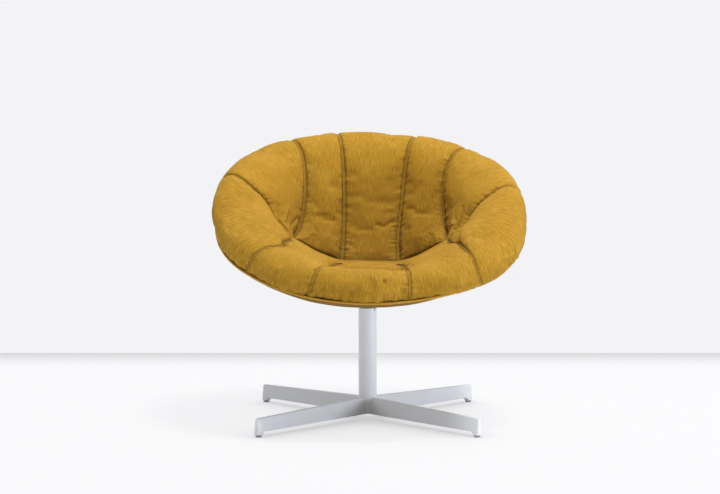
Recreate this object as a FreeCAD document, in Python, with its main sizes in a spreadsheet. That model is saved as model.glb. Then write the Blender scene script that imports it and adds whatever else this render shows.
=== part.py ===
import FreeCAD, Part
import math
import os

import Sketcher
from FreeCAD import Placement, Rotation, Vector

# Pedestal swivel armchair: a four-arm cast foot, a tube column with a swivel spindle inside it,
# and a moulded tub that carries ten stuffed pad sections round a seat pad.
# Axes: X to the sitter's left, Y to the back, Z up, in millimetres.
# The origin is on the floor, on the axis of the column.

document = FreeCAD.newDocument("swivel_armchair")

# Driving sizes: name, value, what it sets.
SIZES = [
    ("arm_count", 4, "arms of the foot"),
    ("first_arm_turn", 45, "turn of the first arm from the X axis, in degrees"),
    ("foot_reach", 366.4, "column axis to the middle of a glide"),
    ("foot_width", 15.6, "width and length of the turned-down end of an arm"),
    ("foot_overlap", 1, "height that a turned-down end shares with its arm"),
    ("cut_past", 1, "how far a cut runs past the face that it leaves"),
    ("glide_depth", 5, "height of a glide below the casting"),
    ("glide_bevel", 1, "bevel round the underside of a glide"),
    ("glide_width", 15, "diameter of a glide"),
    ("peg_width", 6, "diameter of the peg on a glide"),
    ("peg_depth", 9, "length of the peg on a glide"),
    ("peg_room", 0.5, "space left above the peg in its hole"),
    ("arm_under_hub", 16, "floor to the underside of an arm at the hub"),
    ("arm_under_end", 12, "floor to the underside of an arm at its end"),
    ("arm_top_hub", 56, "floor to the top of an arm at the hub"),
    ("arm_top_end", 45, "floor to the top of an arm at its end"),
    ("arm_ridge_hub", 10, "width of the top of an arm at the hub"),
    ("arm_ridge_end", 6.7, "width of the top of an arm at its end"),
    ("arm_foot_hub", 30.6, "width of the underside of an arm at the hub"),
    ("hub_top", 60, "floor to the shoulder that the column stands on"),
    ("spigot_length", 42, "part of the hub that enters the column"),
    ("column_width", 45, "outer diameter of the column"),
    ("column_wall", 2.5, "wall of the column"),
    ("column_top", 277, "floor to the top of the column"),
    ("notch_width", 3, "slot in the top edge of the column"),
    ("notch_depth", 6, "depth of that slot"),
    ("notch_turn", -41.5, "turn of the slot from the X axis, in degrees"),
    ("lug_play", 0.1, "play of the lug of the upper bush in that slot"),
    ("lug_root", 1, "how far the lug starts inside the bore of the column"),
    ("bolt_width", 12, "thread of the bolt that holds the column"),
    ("bolt_play", 0.5, "radial play of a bolt or screw in its plain hole"),
    ("bolt_head", 19, "width across flats of that bolt"),
    ("bolt_head_depth", 7.5, "height of the head of that bolt"),
    ("head_room", 1, "space round the corners of that head in its recess"),
    ("bolt_recess", 12, "depth of the recess for the head below the hub"),
    ("bolt_bite", 10, "thread of that bolt inside the plug"),
    ("washer_depth", 2.5, "thickness of the washer on that bolt"),
    ("washer_play", 0.25, "radial play of a washer on its bolt or screw"),
    ("washer_rim", 0.5, "how far that washer reaches past the corners of the head"),
    ("plug_depth", 12, "thickness of the threaded plug in the column"),
    ("spindle_width", 25, "diameter of the swivel spindle"),
    ("spindle_length", 168, "length of the spindle below the seat plate"),
    ("spindle_bevel", 1, "bevel round the lower end of the spindle"),
    ("bush_length", 30, "length of each bush"),
    ("flange_depth", 2, "thickness of the flange of the upper bush"),
    ("flange_width", 44, "diameter of that flange"),
    ("lower_bush_drop", 138, "column top to the underside of the lower bush"),
    ("running_fit", 0.05, "radial play of the spindle in its bushes"),
    ("press_fit_gap", 0.01, "radial play left in a pressed joint"),
    ("ring_depth", 1.5, "thickness of the retaining ring"),
    ("ring_reach", 3.2, "radial width of the retaining ring"),
    ("ring_mouth", 6, "width of the opening of the ring"),
    ("ring_play", 0.05, "play of the ring in its groove and below the washer"),
    ("groove_cut", 1.2, "depth of the groove for the ring"),
    ("end_washer_depth", 2, "thickness of the washer above the ring"),
    ("end_washer_rim", 5, "radial width of that washer"),
    ("race_width", 42, "outer diameter of the thrust bearing"),
    ("race_depth", 3.2, "thickness of a bearing washer"),
    ("race_play", 0.5, "radial play of the lower bearing washer on the spindle"),
    ("ball_width", 4.8, "diameter of a bearing ball"),
    ("ball_sink", 0.8, "how far a ball lies in the track of a washer"),
    ("cage_depth", 1.6, "thickness of the ball cage"),
    ("cage_margin", 0.8, "cage edge to the edge of a bearing washer"),
    ("ball_play", 0.12, "play of a ball in its pocket"),
    ("ball_count", 14, "balls in the thrust bearing"),
    ("boss_width", 40, "diameter of the boss under the seat plate"),
    ("boss_depth", 7.5, "height of the boss under the seat plate"),
    ("plate_width", 176, "diameter of the seat plate"),
    ("plate_depth", 5, "thickness of the seat plate"),
    ("screw_circle", 130, "diameter of the circle of plate screws"),
    ("screw_count", 4, "screws in the seat plate"),
    ("screw_width", 8, "thread of a plate screw"),
    ("screw_head", 13, "width across flats of a plate screw"),
    ("screw_head_depth", 5.3, "height of the head of a plate screw"),
    ("screw_grip", 1, "length that the shank of a plate screw shares with its head"),
    ("screw_end", 0.5, "how far a plate screw stands out of its insert"),
    ("screw_washer", 1.6, "thickness of the washer on a plate screw"),
    ("screw_washer_rim", 0.8, "how far that washer reaches past the corners of the head"),
    ("insert_flange", 22, "diameter of the flange of a threaded insert"),
    ("insert_flange_depth", 1.5, "thickness of that flange"),
    ("insert_barrel", 10, "diameter of the barrel of a threaded insert"),
    ("insert_lift", 0.2, "seat plate to the lower end of an insert"),
    ("recess_play", 2, "gap round the seat plate in the tub"),
    ("shell_wall", 12, "wall of the tub at its base"),
    ("shell_rim_wall", 8, "wall of the tub at its rim"),
    ("recess_depth", 6, "depth of the recess for the seat plate"),
    ("base_width", 210, "diameter of the flat base of the tub"),
    ("disc_overlap", 25, "how far the wall of the tub reaches into its base disc"),
    ("cover_wall", 1.6, "thickness of the outer cover"),
    ("cover_margin", 0.6, "outer cover to the piping"),
    ("cover_opening", 3, "edge of the recess to the inner edge of the outer cover"),
    ("soft_gap", 0.3, "gap between a soft piece and its neighbour"),
    ("lining_gap", 0.5, "gap between the pad and the tub"),
    ("pad_half_width", 381, "seat centre to the outside of the pad at a side"),
    ("pad_half_length", 345, "seat centre to the outside of the pad at front and back"),
    ("crest_middle", 559, "mean height of the crest of the pad"),
    ("crest_rise", 143, "how far the back crest is above that mean"),
    ("crest_side", 11, "how far the side crest is above that mean"),
    ("edge_middle", 474, "mean height of the piped lower edge"),
    ("edge_rise", 147, "how far the back edge is above that mean"),
    ("edge_inset", 12, "outside of the pad to the piped edge"),
    ("crest_inset", 43, "outside of the pad to its crest"),
    ("face_share", 0.55, "place of the middle of the face between seam and shoulder"),
    ("face_hollow", 0.45, "height of that place between seam and shoulder"),
    ("roll_share", 0.6, "place of the lower roll between widest point and edge"),
    ("roll_drop", 45, "crest of the pad down to its widest point"),
    ("shoulder_inset", 92, "outside of the pad to its inner shoulder"),
    ("shoulder_drop", 20, "crest of the pad down to its inner shoulder"),
    ("seat_back_reach", 110, "seat centre to the back seam of the seat pad"),
    ("seat_front_reach", 150, "seat centre to the front seam of the seat pad"),
    ("seat_side_reach", 186, "seat centre to the side seam of the seat pad"),
    ("seam_back", 384, "height of the back seam of the seat pad"),
    ("seam_front", 392, "height of the front seam of the seat pad"),
    ("seam_side", 448, "height of the side seam of the seat pad"),
    ("seat_top", 352, "height of the middle of the seat pad"),
    ("seat_margin", 12, "how far the faces of the seat pad are made past its seam"),
    ("seat_block", 200, "height of the block that the seat pad is cut from"),
    ("rim_drop", 46, "crest of the pad down to the rim of the tub"),
    ("rim_inset", 30, "outside of the pad to the rim of the tub"),
    ("welt_width", 6, "diameter of the piping on the lower edge"),
    ("seam_turn_1", 16, "first seam, in degrees from the back"),
    ("seam_turn_2", 38, "second seam"),
    ("seam_turn_3", 80, "third seam"),
    ("seam_turn_4", 130, "fourth seam"),
    ("seam_turn_5", 160, "fifth seam"),
]

sheet = document.addObject("Spreadsheet::Sheet", "sizes")
for line, (alias, value, meaning) in enumerate(SIZES, start=1):
    sheet.set("A%d" % line, alias)
    sheet.set("B%d" % line, str(value))
    sheet.set("C%d" % line, meaning)
    sheet.setAlias("B%d" % line, alias)
document.recompute()

nodes = []


def size(alias):
    """The value of one named size in the sheet."""
    return float(getattr(sheet, alias))


def keep(piece, label):
    """Name a finished piece and put it on the list that is written out."""
    piece.Label = label
    nodes.append(piece)
    return piece


# Helpers for pieces that are sketched

def new_body(name):
    return document.addObject("PartDesign::Body", name + "_body")


def origin_item(body, role):
    for item in body.Origin.OriginFeatures:
        if item.Role == role:
            return item
    raise ValueError("no origin feature " + role)


def outline(body, name, plane, corners, offset="0"):
    """A closed straight-sided sketch. Every corner is a pair of expressions."""
    sketch = body.newObject("Sketcher::SketchObject", name)
    sketch.AttachmentSupport = [(origin_item(body, plane), "")]
    sketch.MapMode = "FlatFace"
    sketch.setExpression("AttachmentOffset.Base.z", offset)
    number = len(corners)
    start = []
    for index in range(number):
        turn = 2 * math.pi * index / number
        start.append(Vector(math.cos(turn), math.sin(turn), 0))
    for index in range(number):
        sketch.addGeometry(Part.LineSegment(start[index], start[(index + 1) % number]))
    for index in range(number):
        following = (index + 1) % number
        sketch.addConstraint(Sketcher.Constraint("Coincident", index, 2, following, 1))
    for index, (across, up) in enumerate(corners):
        for kind, expression in (("DistanceX", across), ("DistanceY", up)):
            rule = sketch.addConstraint(Sketcher.Constraint(kind, -1, 1, index, 1, 1.0))
            sketch.setExpression("Constraints[%d]" % rule, expression)
    return sketch


def circle(body, name, radius, offset="0", across="0"):
    """A round sketch on the XY plane, raised by offset and moved along X by across."""
    sketch = body.newObject("Sketcher::SketchObject", name)
    sketch.AttachmentSupport = [(origin_item(body, "XY_Plane"), "")]
    sketch.MapMode = "FlatFace"
    sketch.setExpression("AttachmentOffset.Base.z", offset)
    sketch.setExpression("AttachmentOffset.Base.x", across)
    sketch.addGeometry(Part.Circle(Vector(0, 0, 0), Vector(0, 0, 1), 5))
    sketch.addConstraint(Sketcher.Constraint("Coincident", 0, 3, -1, 1))
    rule = sketch.addConstraint(Sketcher.Constraint("Radius", 0, 5))
    sketch.setExpression("Constraints[%d]" % rule, radius)
    return sketch


def pad(body, name, sketch, length):
    feature = body.newObject("PartDesign::Pad", name)
    feature.Profile = sketch
    feature.setExpression("Length", length)
    return feature


def pocket_up(body, name, sketch, length):
    """A pocket that cuts upwards from its sketch."""
    feature = body.newObject("PartDesign::Pocket", name)
    feature.Profile = sketch
    feature.Reversed = True
    feature.setExpression("Length", length)
    return feature


def turned(name, corners):
    """A piece turned about the Z axis: corners are pairs of radius and height."""
    body = new_body(name)
    profile = outline(body, name + "_profile", "XZ_Plane", corners)
    turning = body.newObject("PartDesign::Revolution", name + "_turning")
    turning.Profile = profile
    turning.ReferenceAxis = (profile, ["V_Axis"])
    turning.Angle = 360
    return body


def ring(name, inner, outer, low, high):
    """A plain turned ring between two radii and two heights."""
    return turned(name, [(inner, low), (outer, low), (outer, high), (inner, high)])


def pattern_round(body, features, count):
    """Repeat features round the Z axis and make the result the body's tip."""
    repeat = body.newObject("PartDesign::PolarPattern", "repeat")
    repeat.Originals = features
    repeat.Axis = (origin_item(body, "Z_Axis"), [""])
    repeat.Angle = 360
    repeat.setExpression("Occurrences", count)
    body.Tip = repeat
    return repeat


def hexagon(flats, across="0"):
    """Corners of a hexagon, flats across X, centred at the given X."""
    half = "(" + flats + ") / 2"
    short = "(" + flats + ") / (2 * sqrt(3))"
    tall = "(" + flats + ") / sqrt(3)"
    return [
        (across + " + " + half, short),
        (across, tall),
        (across + " - " + half, short),
        (across + " - " + half, "-" + short),
        (across, "-" + tall),
        (across + " + " + half, "-" + short),
    ]


# Foot: one aluminium die-casting, a hub with four tapered arms whose ends turn down

def build_star_base():
    body = new_body("star_base")
    hub_sketch = circle(body, "hub_outline", "sizes.column_width / 2", "sizes.arm_under_hub")
    pad(body, "hub", hub_sketch, "sizes.hub_top - sizes.arm_under_hub")
    spigot_radius = "sizes.column_width / 2 - sizes.column_wall - sizes.press_fit_gap"
    spigot_sketch = circle(body, "spigot_outline", spigot_radius, "sizes.hub_top")
    pad(body, "spigot", spigot_sketch, "sizes.spigot_length")

    root_corners = [
        ("-sizes.arm_foot_hub / 2", "sizes.arm_under_hub"),
        ("sizes.arm_foot_hub / 2", "sizes.arm_under_hub"),
        ("sizes.arm_ridge_hub / 2", "sizes.arm_top_hub"),
        ("-sizes.arm_ridge_hub / 2", "sizes.arm_top_hub"),
    ]
    end_corners = [
        ("-sizes.foot_width / 2", "sizes.arm_under_end"),
        ("sizes.foot_width / 2", "sizes.arm_under_end"),
        ("sizes.arm_ridge_end / 2", "sizes.arm_top_end"),
        ("-sizes.arm_ridge_end / 2", "sizes.arm_top_end"),
    ]
    root = outline(body, "arm_root", "YZ_Plane", root_corners, "sizes.column_width / 4")
    end = outline(body, "arm_end", "YZ_Plane", end_corners,
                  "sizes.foot_reach + sizes.foot_width / 2")
    arm = body.newObject("PartDesign::AdditiveLoft", "arm")
    arm.Profile = root
    arm.Sections = [(end, [""])]
    arm.Ruled = True

    near = "sizes.foot_reach - sizes.foot_width / 2"
    far = "sizes.foot_reach + sizes.foot_width / 2"
    side = "sizes.foot_width / 2"
    foot_corners = [(near, "-" + side), (far, "-" + side), (far, side), (near, side)]
    foot_sketch = outline(body, "foot_outline", "XY_Plane", foot_corners, "sizes.glide_depth")
    foot = pad(body, "foot", foot_sketch,
               "sizes.arm_under_end - sizes.glide_depth + sizes.foot_overlap")
    pattern_round(body, [arm, foot], "sizes.arm_count")
    document.recompute()

    bolt_hole = circle(body, "bolt_hole_outline", "sizes.bolt_width / 2 + sizes.bolt_play",
                       "sizes.arm_under_hub")
    pocket_up(body, "bolt_hole", bolt_hole,
              "sizes.hub_top + sizes.spigot_length - sizes.arm_under_hub")
    head_hole = circle(body, "head_hole_outline", "sizes.bolt_head / sqrt(3) + sizes.head_room",
                       "sizes.arm_under_hub")
    pocket_up(body, "head_hole", head_hole, "sizes.bolt_recess")
    peg_hole = circle(body, "peg_hole_outline", "sizes.peg_width / 2 + sizes.press_fit_gap",
                      "sizes.glide_depth", "sizes.foot_reach")
    peg_cut = pocket_up(body, "peg_hole", peg_hole, "sizes.peg_depth + sizes.peg_room")
    repeat = body.newObject("PartDesign::PolarPattern", "peg_repeat")
    repeat.Originals = [peg_cut]
    repeat.Axis = (origin_item(body, "Z_Axis"), [""])
    repeat.Angle = 360
    repeat.setExpression("Occurrences", "sizes.arm_count")
    body.Tip = repeat
    document.recompute()
    body.setExpression("Placement.Rotation.Angle", "sizes.first_arm_turn")
    return body


star_base = keep(build_star_base(), "star_base")

# Glides: four nylon discs, each pressed by its peg into the end of an arm

GLIDE_NAMES = ["foot_glide_left_back", "foot_glide_right_back",
               "foot_glide_right_front", "foot_glide_left_front"]


def build_glide(name, number):
    peg = "sizes.peg_width / 2"
    body = turned(name, [
        ("0", "0"),
        ("sizes.glide_width / 2 - sizes.glide_bevel", "0"),
        ("sizes.glide_width / 2", "sizes.glide_bevel"),
        ("sizes.glide_width / 2", "sizes.glide_depth"),
        (peg, "sizes.glide_depth"),
        (peg, "sizes.glide_depth + sizes.peg_depth"),
        ("0", "sizes.glide_depth + sizes.peg_depth"),
    ])
    turn = "(sizes.first_arm_turn + 360 / sizes.arm_count * %d) * 1 deg" % number
    body.setExpression("Placement.Base.x", "sizes.foot_reach * cos(%s)" % turn)
    body.setExpression("Placement.Base.y", "sizes.foot_reach * sin(%s)" % turn)
    return body


for number, glide_name in enumerate(GLIDE_NAMES):
    keep(build_glide(glide_name, number), glide_name)

# Column: a steel tube that stands on the shoulder of the hub, with a slot for the bush lug

def build_column():
    outer = "sizes.column_width / 2"
    inner = outer + " - sizes.column_wall"
    body = ring("column_tube", inner, outer, "sizes.hub_top", "sizes.column_top")
    half = "sizes.notch_width / 2"
    corners = [("sizes.column_width / 4", "-" + half), ("sizes.column_width", "-" + half),
               ("sizes.column_width", half), ("sizes.column_width / 4", half)]
    slot = outline(body, "notch_outline", "XY_Plane", corners,
                   "sizes.column_top - sizes.notch_depth")
    pocket_up(body, "notch", slot, "sizes.notch_depth + sizes.cut_past")
    body.setExpression("Placement.Rotation.Angle", "sizes.notch_turn")
    return body


keep(build_column(), "column_tube")

COLUMN_BORE = "(sizes.column_width / 2 - sizes.column_wall)"
PLUG_LOW = "(sizes.hub_top + sizes.spigot_length)"

keep(ring("column_plug", "sizes.bolt_width / 2 + sizes.press_fit_gap",
          COLUMN_BORE + " - sizes.press_fit_gap", PLUG_LOW, PLUG_LOW + " + sizes.plug_depth"),
     "column_plug")

# Bolt and washer: they pull the plug, and with it the column, down on the hub

HEAD_SEAT = "(sizes.arm_under_hub + sizes.bolt_recess)"


def build_hub_bolt():
    body = new_body("hub_bolt")
    low = HEAD_SEAT + " - sizes.washer_depth - sizes.bolt_head_depth"
    head = outline(body, "head_outline", "XY_Plane", hexagon("sizes.bolt_head"), low)
    pad(body, "head", head, "sizes.bolt_head_depth")
    shank_low = "(" + HEAD_SEAT + " - sizes.washer_depth - sizes.screw_grip)"
    shank = circle(body, "shank_outline", "sizes.bolt_width / 2", shank_low)
    pad(body, "shank", shank, PLUG_LOW + " + sizes.bolt_bite - " + shank_low)
    return body


keep(build_hub_bolt(), "hub_bolt")
keep(ring("hub_washer", "sizes.bolt_width / 2 + sizes.washer_play",
          "sizes.bolt_head / sqrt(3) + sizes.washer_rim",
          HEAD_SEAT + " - sizes.washer_depth", HEAD_SEAT), "hub_washer")

# Bushes: moulded acetal, pressed into the tube; a lug on the upper one lies in the slot

SPINDLE = "sizes.spindle_width / 2"
BUSH_BORE = SPINDLE + " + sizes.running_fit"
BUSH_OUTSIDE = COLUMN_BORE + " - sizes.press_fit_gap"


def build_upper_bush():
    top = "sizes.column_top"
    flange_top = top + " + sizes.flange_depth"
    body = turned("upper_bush", [
        (BUSH_BORE, top + " - sizes.bush_length"),
        (BUSH_OUTSIDE, top + " - sizes.bush_length"),
        (BUSH_OUTSIDE, top),
        ("sizes.flange_width / 2", top),
        ("sizes.flange_width / 2", flange_top),
        (BUSH_BORE, flange_top),
    ])
    half = "(sizes.notch_width / 2 - sizes.lug_play)"
    inner = COLUMN_BORE + " - sizes.lug_root"
    outer = "sizes.flange_width / 2"
    corners = [(inner, "-" + half), (outer, "-" + half), (outer, half), (inner, half)]
    lug = outline(body, "lug_outline", "XY_Plane", corners,
                  top + " - sizes.notch_depth + sizes.lug_play")
    pad(body, "lug", lug, "sizes.notch_depth")
    body.setExpression("Placement.Rotation.Angle", "sizes.notch_turn")
    return body


LOWER_BUSH_LOW = "(sizes.column_top - sizes.lower_bush_drop)"
keep(build_upper_bush(), "upper_bush")
keep(ring("lower_bush", BUSH_BORE, BUSH_OUTSIDE, LOWER_BUSH_LOW,
          LOWER_BUSH_LOW + " + sizes.bush_length"), "lower_bush")

# Thrust bearing: two steel washers with a track, a cage and its balls, on the bush flange

BEARING_LOW = "(sizes.column_top + sizes.flange_depth)"
BALL_RING = "((sizes.race_width + sizes.spindle_width) / 4)"
BALL_LEVEL = "(" + BEARING_LOW + " + sizes.race_depth + sizes.ball_width / 2 - sizes.ball_sink)"
RACE_GAP = "(sizes.ball_width - 2 * sizes.ball_sink)"
UPPER_RACE = "(" + BEARING_LOW + " + sizes.race_depth + " + RACE_GAP + ")"
BEARING_TOP = "(" + UPPER_RACE + " + sizes.race_depth)"


def build_race(name, low, bore):
    """A bearing washer with a round track, cut by a torus a little larger than the balls."""
    body = ring(name, bore, "sizes.race_width / 2", low, low + " + sizes.race_depth")
    track = body.newObject("PartDesign::SubtractiveTorus", name + "_track")
    track.AttachmentSupport = [(origin_item(body, "XY_Plane"), "")]
    track.MapMode = "FlatFace"
    track.setExpression("AttachmentOffset.Base.z", BALL_LEVEL)
    track.setExpression("Radius1", BALL_RING)
    track.setExpression("Radius2", "sizes.ball_width / 2 + sizes.running_fit")
    return body


def build_balls():
    body = new_body("bearing_balls")
    ball = body.newObject("PartDesign::AdditiveSphere", "ball")
    ball.AttachmentSupport = [(origin_item(body, "XY_Plane"), "")]
    ball.MapMode = "FlatFace"
    ball.setExpression("AttachmentOffset.Base.x", BALL_RING)
    ball.setExpression("AttachmentOffset.Base.z", BALL_LEVEL)
    ball.setExpression("Radius", "sizes.ball_width / 2")
    document.recompute()
    pattern_round(body, [ball], "sizes.ball_count")
    return body


def build_cage():
    """A flat brass cage whose round pockets hold the balls with a little play."""
    low = BALL_LEVEL + " - sizes.cage_depth / 2"
    body = ring("bearing_cage", SPINDLE + " + sizes.cage_margin",
                "sizes.race_width / 2 - sizes.cage_margin", low, low + " + sizes.cage_depth")
    pocket_circle = circle(body, "pocket_outline", "sizes.ball_width / 2 + sizes.ball_play",
                           low, BALL_RING)
    hole = pocket_up(body, "ball_pocket", pocket_circle, "sizes.cage_depth + sizes.cut_past")
    document.recompute()
    pattern_round(body, [hole], "sizes.ball_count")
    return body


keep(build_race("lower_race", BEARING_LOW, SPINDLE + " + sizes.race_play"), "lower_race")
keep(build_cage(), "bearing_cage")
keep(build_balls(), "bearing_balls")
keep(build_race("upper_race", UPPER_RACE, SPINDLE + " + sizes.press_fit_gap"), "upper_race")

# Seat plate: a round steel plate with a welded boss and the spindle, screwed to the tub

PLATE_LOW = "(" + BEARING_TOP + " + sizes.boss_depth)"
PLATE_TOP = "(" + PLATE_LOW + " + sizes.plate_depth)"
SCREW_REACH = "sizes.screw_circle / 2"


def build_seat_plate():
    body = turned("seat_plate", [
        (SPINDLE + " + sizes.press_fit_gap", BEARING_TOP),
        ("sizes.boss_width / 2", BEARING_TOP),
        ("sizes.boss_width / 2", PLATE_LOW),
        ("sizes.plate_width / 2", PLATE_LOW),
        ("sizes.plate_width / 2", PLATE_TOP),
        (SPINDLE + " + sizes.press_fit_gap", PLATE_TOP),
    ])
    hole_sketch = circle(body, "screw_hole_outline", "sizes.screw_width / 2 + sizes.bolt_play",
                         PLATE_LOW, SCREW_REACH)
    hole = pocket_up(body, "screw_hole", hole_sketch, "sizes.plate_depth + sizes.cut_past")
    document.recompute()
    pattern_round(body, [hole], "sizes.screw_count")
    body.setExpression("Placement.Rotation.Angle", "sizes.first_arm_turn")
    return body


def build_spindle():
    low = "(" + PLATE_TOP + " - sizes.spindle_length)"
    groove_top = "(" + LOWER_BUSH_LOW + " - sizes.end_washer_depth)"
    groove_low = "(" + groove_top + " - sizes.ring_depth - 2 * sizes.ring_play)"
    waist = SPINDLE + " - sizes.groove_cut"
    return turned("spindle", [
        ("0", low),
        (SPINDLE + " - sizes.spindle_bevel", low),
        (SPINDLE, low + " + sizes.spindle_bevel"),
        (SPINDLE, groove_low),
        (waist, groove_low),
        (waist, groove_top),
        (SPINDLE, groove_top),
        (SPINDLE, PLATE_TOP),
        ("0", PLATE_TOP),
    ])


def build_retaining_ring():
    """An open ring in the groove of the spindle."""
    high = "(" + LOWER_BUSH_LOW + " - sizes.end_washer_depth - sizes.ring_play)"
    low = high + " - sizes.ring_depth"
    inner = SPINDLE + " - sizes.groove_cut + sizes.ring_play"
    body = ring("retaining_ring", inner, inner + " + sizes.ring_reach", low, high)
    half = "sizes.ring_mouth / 2"
    near = "sizes.spindle_width / 4"
    far = "sizes.spindle_width"
    corners = [(near, "-" + half), (far, "-" + half), (far, half), (near, half)]
    gap = outline(body, "mouth_outline", "XY_Plane", corners, low)
    pocket_up(body, "mouth", gap, "sizes.ring_depth + sizes.cut_past")
    return body


keep(build_seat_plate(), "seat_plate")
keep(build_spindle(), "spindle")
keep(ring("end_washer", SPINDLE + " + sizes.running_fit",
          SPINDLE + " + sizes.end_washer_rim",
          LOWER_BUSH_LOW + " - sizes.end_washer_depth",
          LOWER_BUSH_LOW + " - sizes.ring_play"), "end_washer")
keep(build_retaining_ring(), "retaining_ring")

# Screws, washers and threaded inserts that join the seat plate to the tub

SHELL_LOW = "(" + PLATE_TOP + " - sizes.recess_depth)"
SHELL_INSIDE = "(" + SHELL_LOW + " + sizes.shell_wall)"


def around(body, features, count="sizes.screw_count"):
    """Repeat a fastener round the plate and turn the group with the plate's holes."""
    document.recompute()
    pattern_round(body, features, count)
    body.setExpression("Placement.Rotation.Angle", "sizes.first_arm_turn")
    return body


def build_plate_screws():
    body = new_body("plate_screws")
    head_top = "(" + PLATE_LOW + " - sizes.screw_washer)"
    head = outline(body, "screw_head_outline", "XY_Plane",
                   hexagon("sizes.screw_head", SCREW_REACH),
                   head_top + " - sizes.screw_head_depth")
    head_pad = pad(body, "screw_head", head, "sizes.screw_head_depth")
    shank = circle(body, "screw_shank_outline", "sizes.screw_width / 2",
                   head_top + " - sizes.screw_grip", SCREW_REACH)
    shank_pad = pad(body, "screw_shank", shank,
                    SHELL_INSIDE + " - " + head_top + " + sizes.screw_end")
    return around(body, [head_pad, shank_pad])


def build_plate_washers():
    body = new_body("plate_washers")
    low = PLATE_LOW + " - sizes.screw_washer"
    disc = circle(body, "washer_outline", "sizes.screw_head / sqrt(3) + sizes.screw_washer_rim",
                  low, SCREW_REACH)
    disc_pad = pad(body, "washer", disc, "sizes.screw_washer")
    hole = circle(body, "washer_hole", "sizes.screw_width / 2 + sizes.washer_play",
                  low, SCREW_REACH)
    cut = pocket_up(body, "washer_bore", hole, "sizes.screw_washer + sizes.cut_past")
    return around(body, [disc_pad, cut])


def build_inserts():
    body = new_body("threaded_inserts")
    low = PLATE_TOP + " + sizes.insert_lift"
    barrel = circle(body, "barrel_outline", "sizes.insert_barrel / 2", low, SCREW_REACH)
    barrel_pad = pad(body, "barrel", barrel,
                     SHELL_INSIDE + " - (" + low + ") - sizes.insert_flange_depth / 3")
    flange_low = "(" + SHELL_INSIDE + " - sizes.insert_flange_depth)"
    flange = circle(body, "insert_flange_outline", "sizes.insert_flange / 2",
                    flange_low, SCREW_REACH)
    flange_pad = pad(body, "insert_flange", flange, "sizes.insert_flange_depth")
    hole = circle(body, "thread_outline", "sizes.screw_width / 2 + sizes.press_fit_gap",
                  low, SCREW_REACH)
    cut = pocket_up(body, "thread", hole, "sizes.shell_wall + sizes.cut_past")
    return around(body, [barrel_pad, flange_pad, cut])


keep(build_plate_screws(), "plate_screws")
keep(build_plate_washers(), "plate_washers")
keep(build_inserts(), "threaded_inserts")
document.recompute()

# Form of the tub and the pad: sections in upright planes that turn about the seat centre.
# A turn is in degrees from the back, towards the sitter's left; a place in a plane is a pair
# of distance from the seat centre and height.

shell_low = (size("column_top") + size("flange_depth") + 2 * size("race_depth")
             + size("ball_width") - 2 * size("ball_sink") + size("boss_depth")
             + size("plate_depth") - size("recess_depth"))
shell_inside = shell_low + size("shell_wall")
UNDERSIDE_CURVE = 1.5
CURVE_STEPS = 6


def wave(turn, back, side, front):
    """A value that runs smoothly from back to side to front, by the turn in degrees."""
    mean = (back + 2 * side + front) / 4
    first = (back - front) / 2
    second = (back - 2 * side + front) / 4
    angle = math.radians(turn)
    return mean + first * math.cos(angle) + second * math.cos(2 * angle)


def reach(turn):
    """Distance from the seat centre to the outside of the pad in one plane."""
    angle = math.radians(turn)
    return math.hypot(size("pad_half_width") * math.sin(angle),
                      size("pad_half_length") * math.cos(angle))


def spot(turn, distance, height):
    """The point of the chair that lies in the plane at this turn."""
    angle = math.radians(turn)
    scale = distance / reach(turn)
    return Vector(size("pad_half_width") * scale * math.sin(angle),
                  size("pad_half_length") * scale * math.cos(angle), height)


def plane_turn(x, y):
    """The turn of the plane in which a point lies."""
    return math.degrees(math.atan2(x / size("pad_half_width"), y / size("pad_half_length")))


def between(first, last, share):
    """The value at a share of the way from the first to the last."""
    return first + (last - first) * share


def crest_height(turn):
    middle = size("crest_middle")
    return wave(turn, middle + size("crest_rise") - size("crest_side"),
                middle + size("crest_side"), middle - size("crest_rise") - size("crest_side"))


def edge_height(turn):
    return size("edge_middle") + size("edge_rise") * math.cos(math.radians(turn))


def shift(points, distance):
    """Move a run of points sideways, to the right of its direction."""
    moved = []
    last = len(points) - 1
    for index, (across, up) in enumerate(points):
        before = points[max(index - 1, 0)]
        after = points[min(index + 1, last)]
        run = math.hypot(after[0] - before[0], after[1] - before[1])
        moved.append((across + (after[1] - before[1]) / run * distance,
                      up - (after[0] - before[0]) / run * distance))
    moved[0] = (points[0][0], points[0][1] - distance)
    return moved


def tub_outside(turn, outward=0.0):
    """The outside of the tub, from the end of its flat base to the piped edge and the rim."""
    base = size("base_width") / 2
    edge = reach(turn) - size("edge_inset") - size("welt_width") / 2 - size("soft_gap")
    rise = edge_height(turn) - shell_low
    points = []
    for step in range(CURVE_STEPS + 1):
        share = step / CURVE_STEPS
        points.append((between(base, edge, share), shell_low + rise * share ** UNDERSIDE_CURVE))
    points.append((reach(turn) - size("rim_inset"), crest_height(turn) - size("rim_drop")))
    return shift(points, outward)


def tub_inside(turn, inward=0.0):
    """The inside of the tub, whose wall thins from its base to its rim."""
    outside = tub_outside(turn)
    thick = shift(outside, -size("shell_wall") - inward)
    thin = shift(outside, -size("shell_rim_wall") - inward)
    last = len(outside) - 1
    points = []
    for index in range(last + 1):
        share = index / last
        points.append((between(thick[index][0], thin[index][0], share),
                       between(thick[index][1], thin[index][1], share)))
    return points


def height_on(points, distance):
    """Height of a run of points at a distance, on the straight line between its points."""
    if distance <= points[0][0]:
        return points[0][1]
    for first, last in zip(points, points[1:]):
        if first[0] < distance <= last[0]:
            return between(first[1], last[1], (distance - first[0]) / (last[0] - first[0]))
    return points[-1][1]


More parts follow.
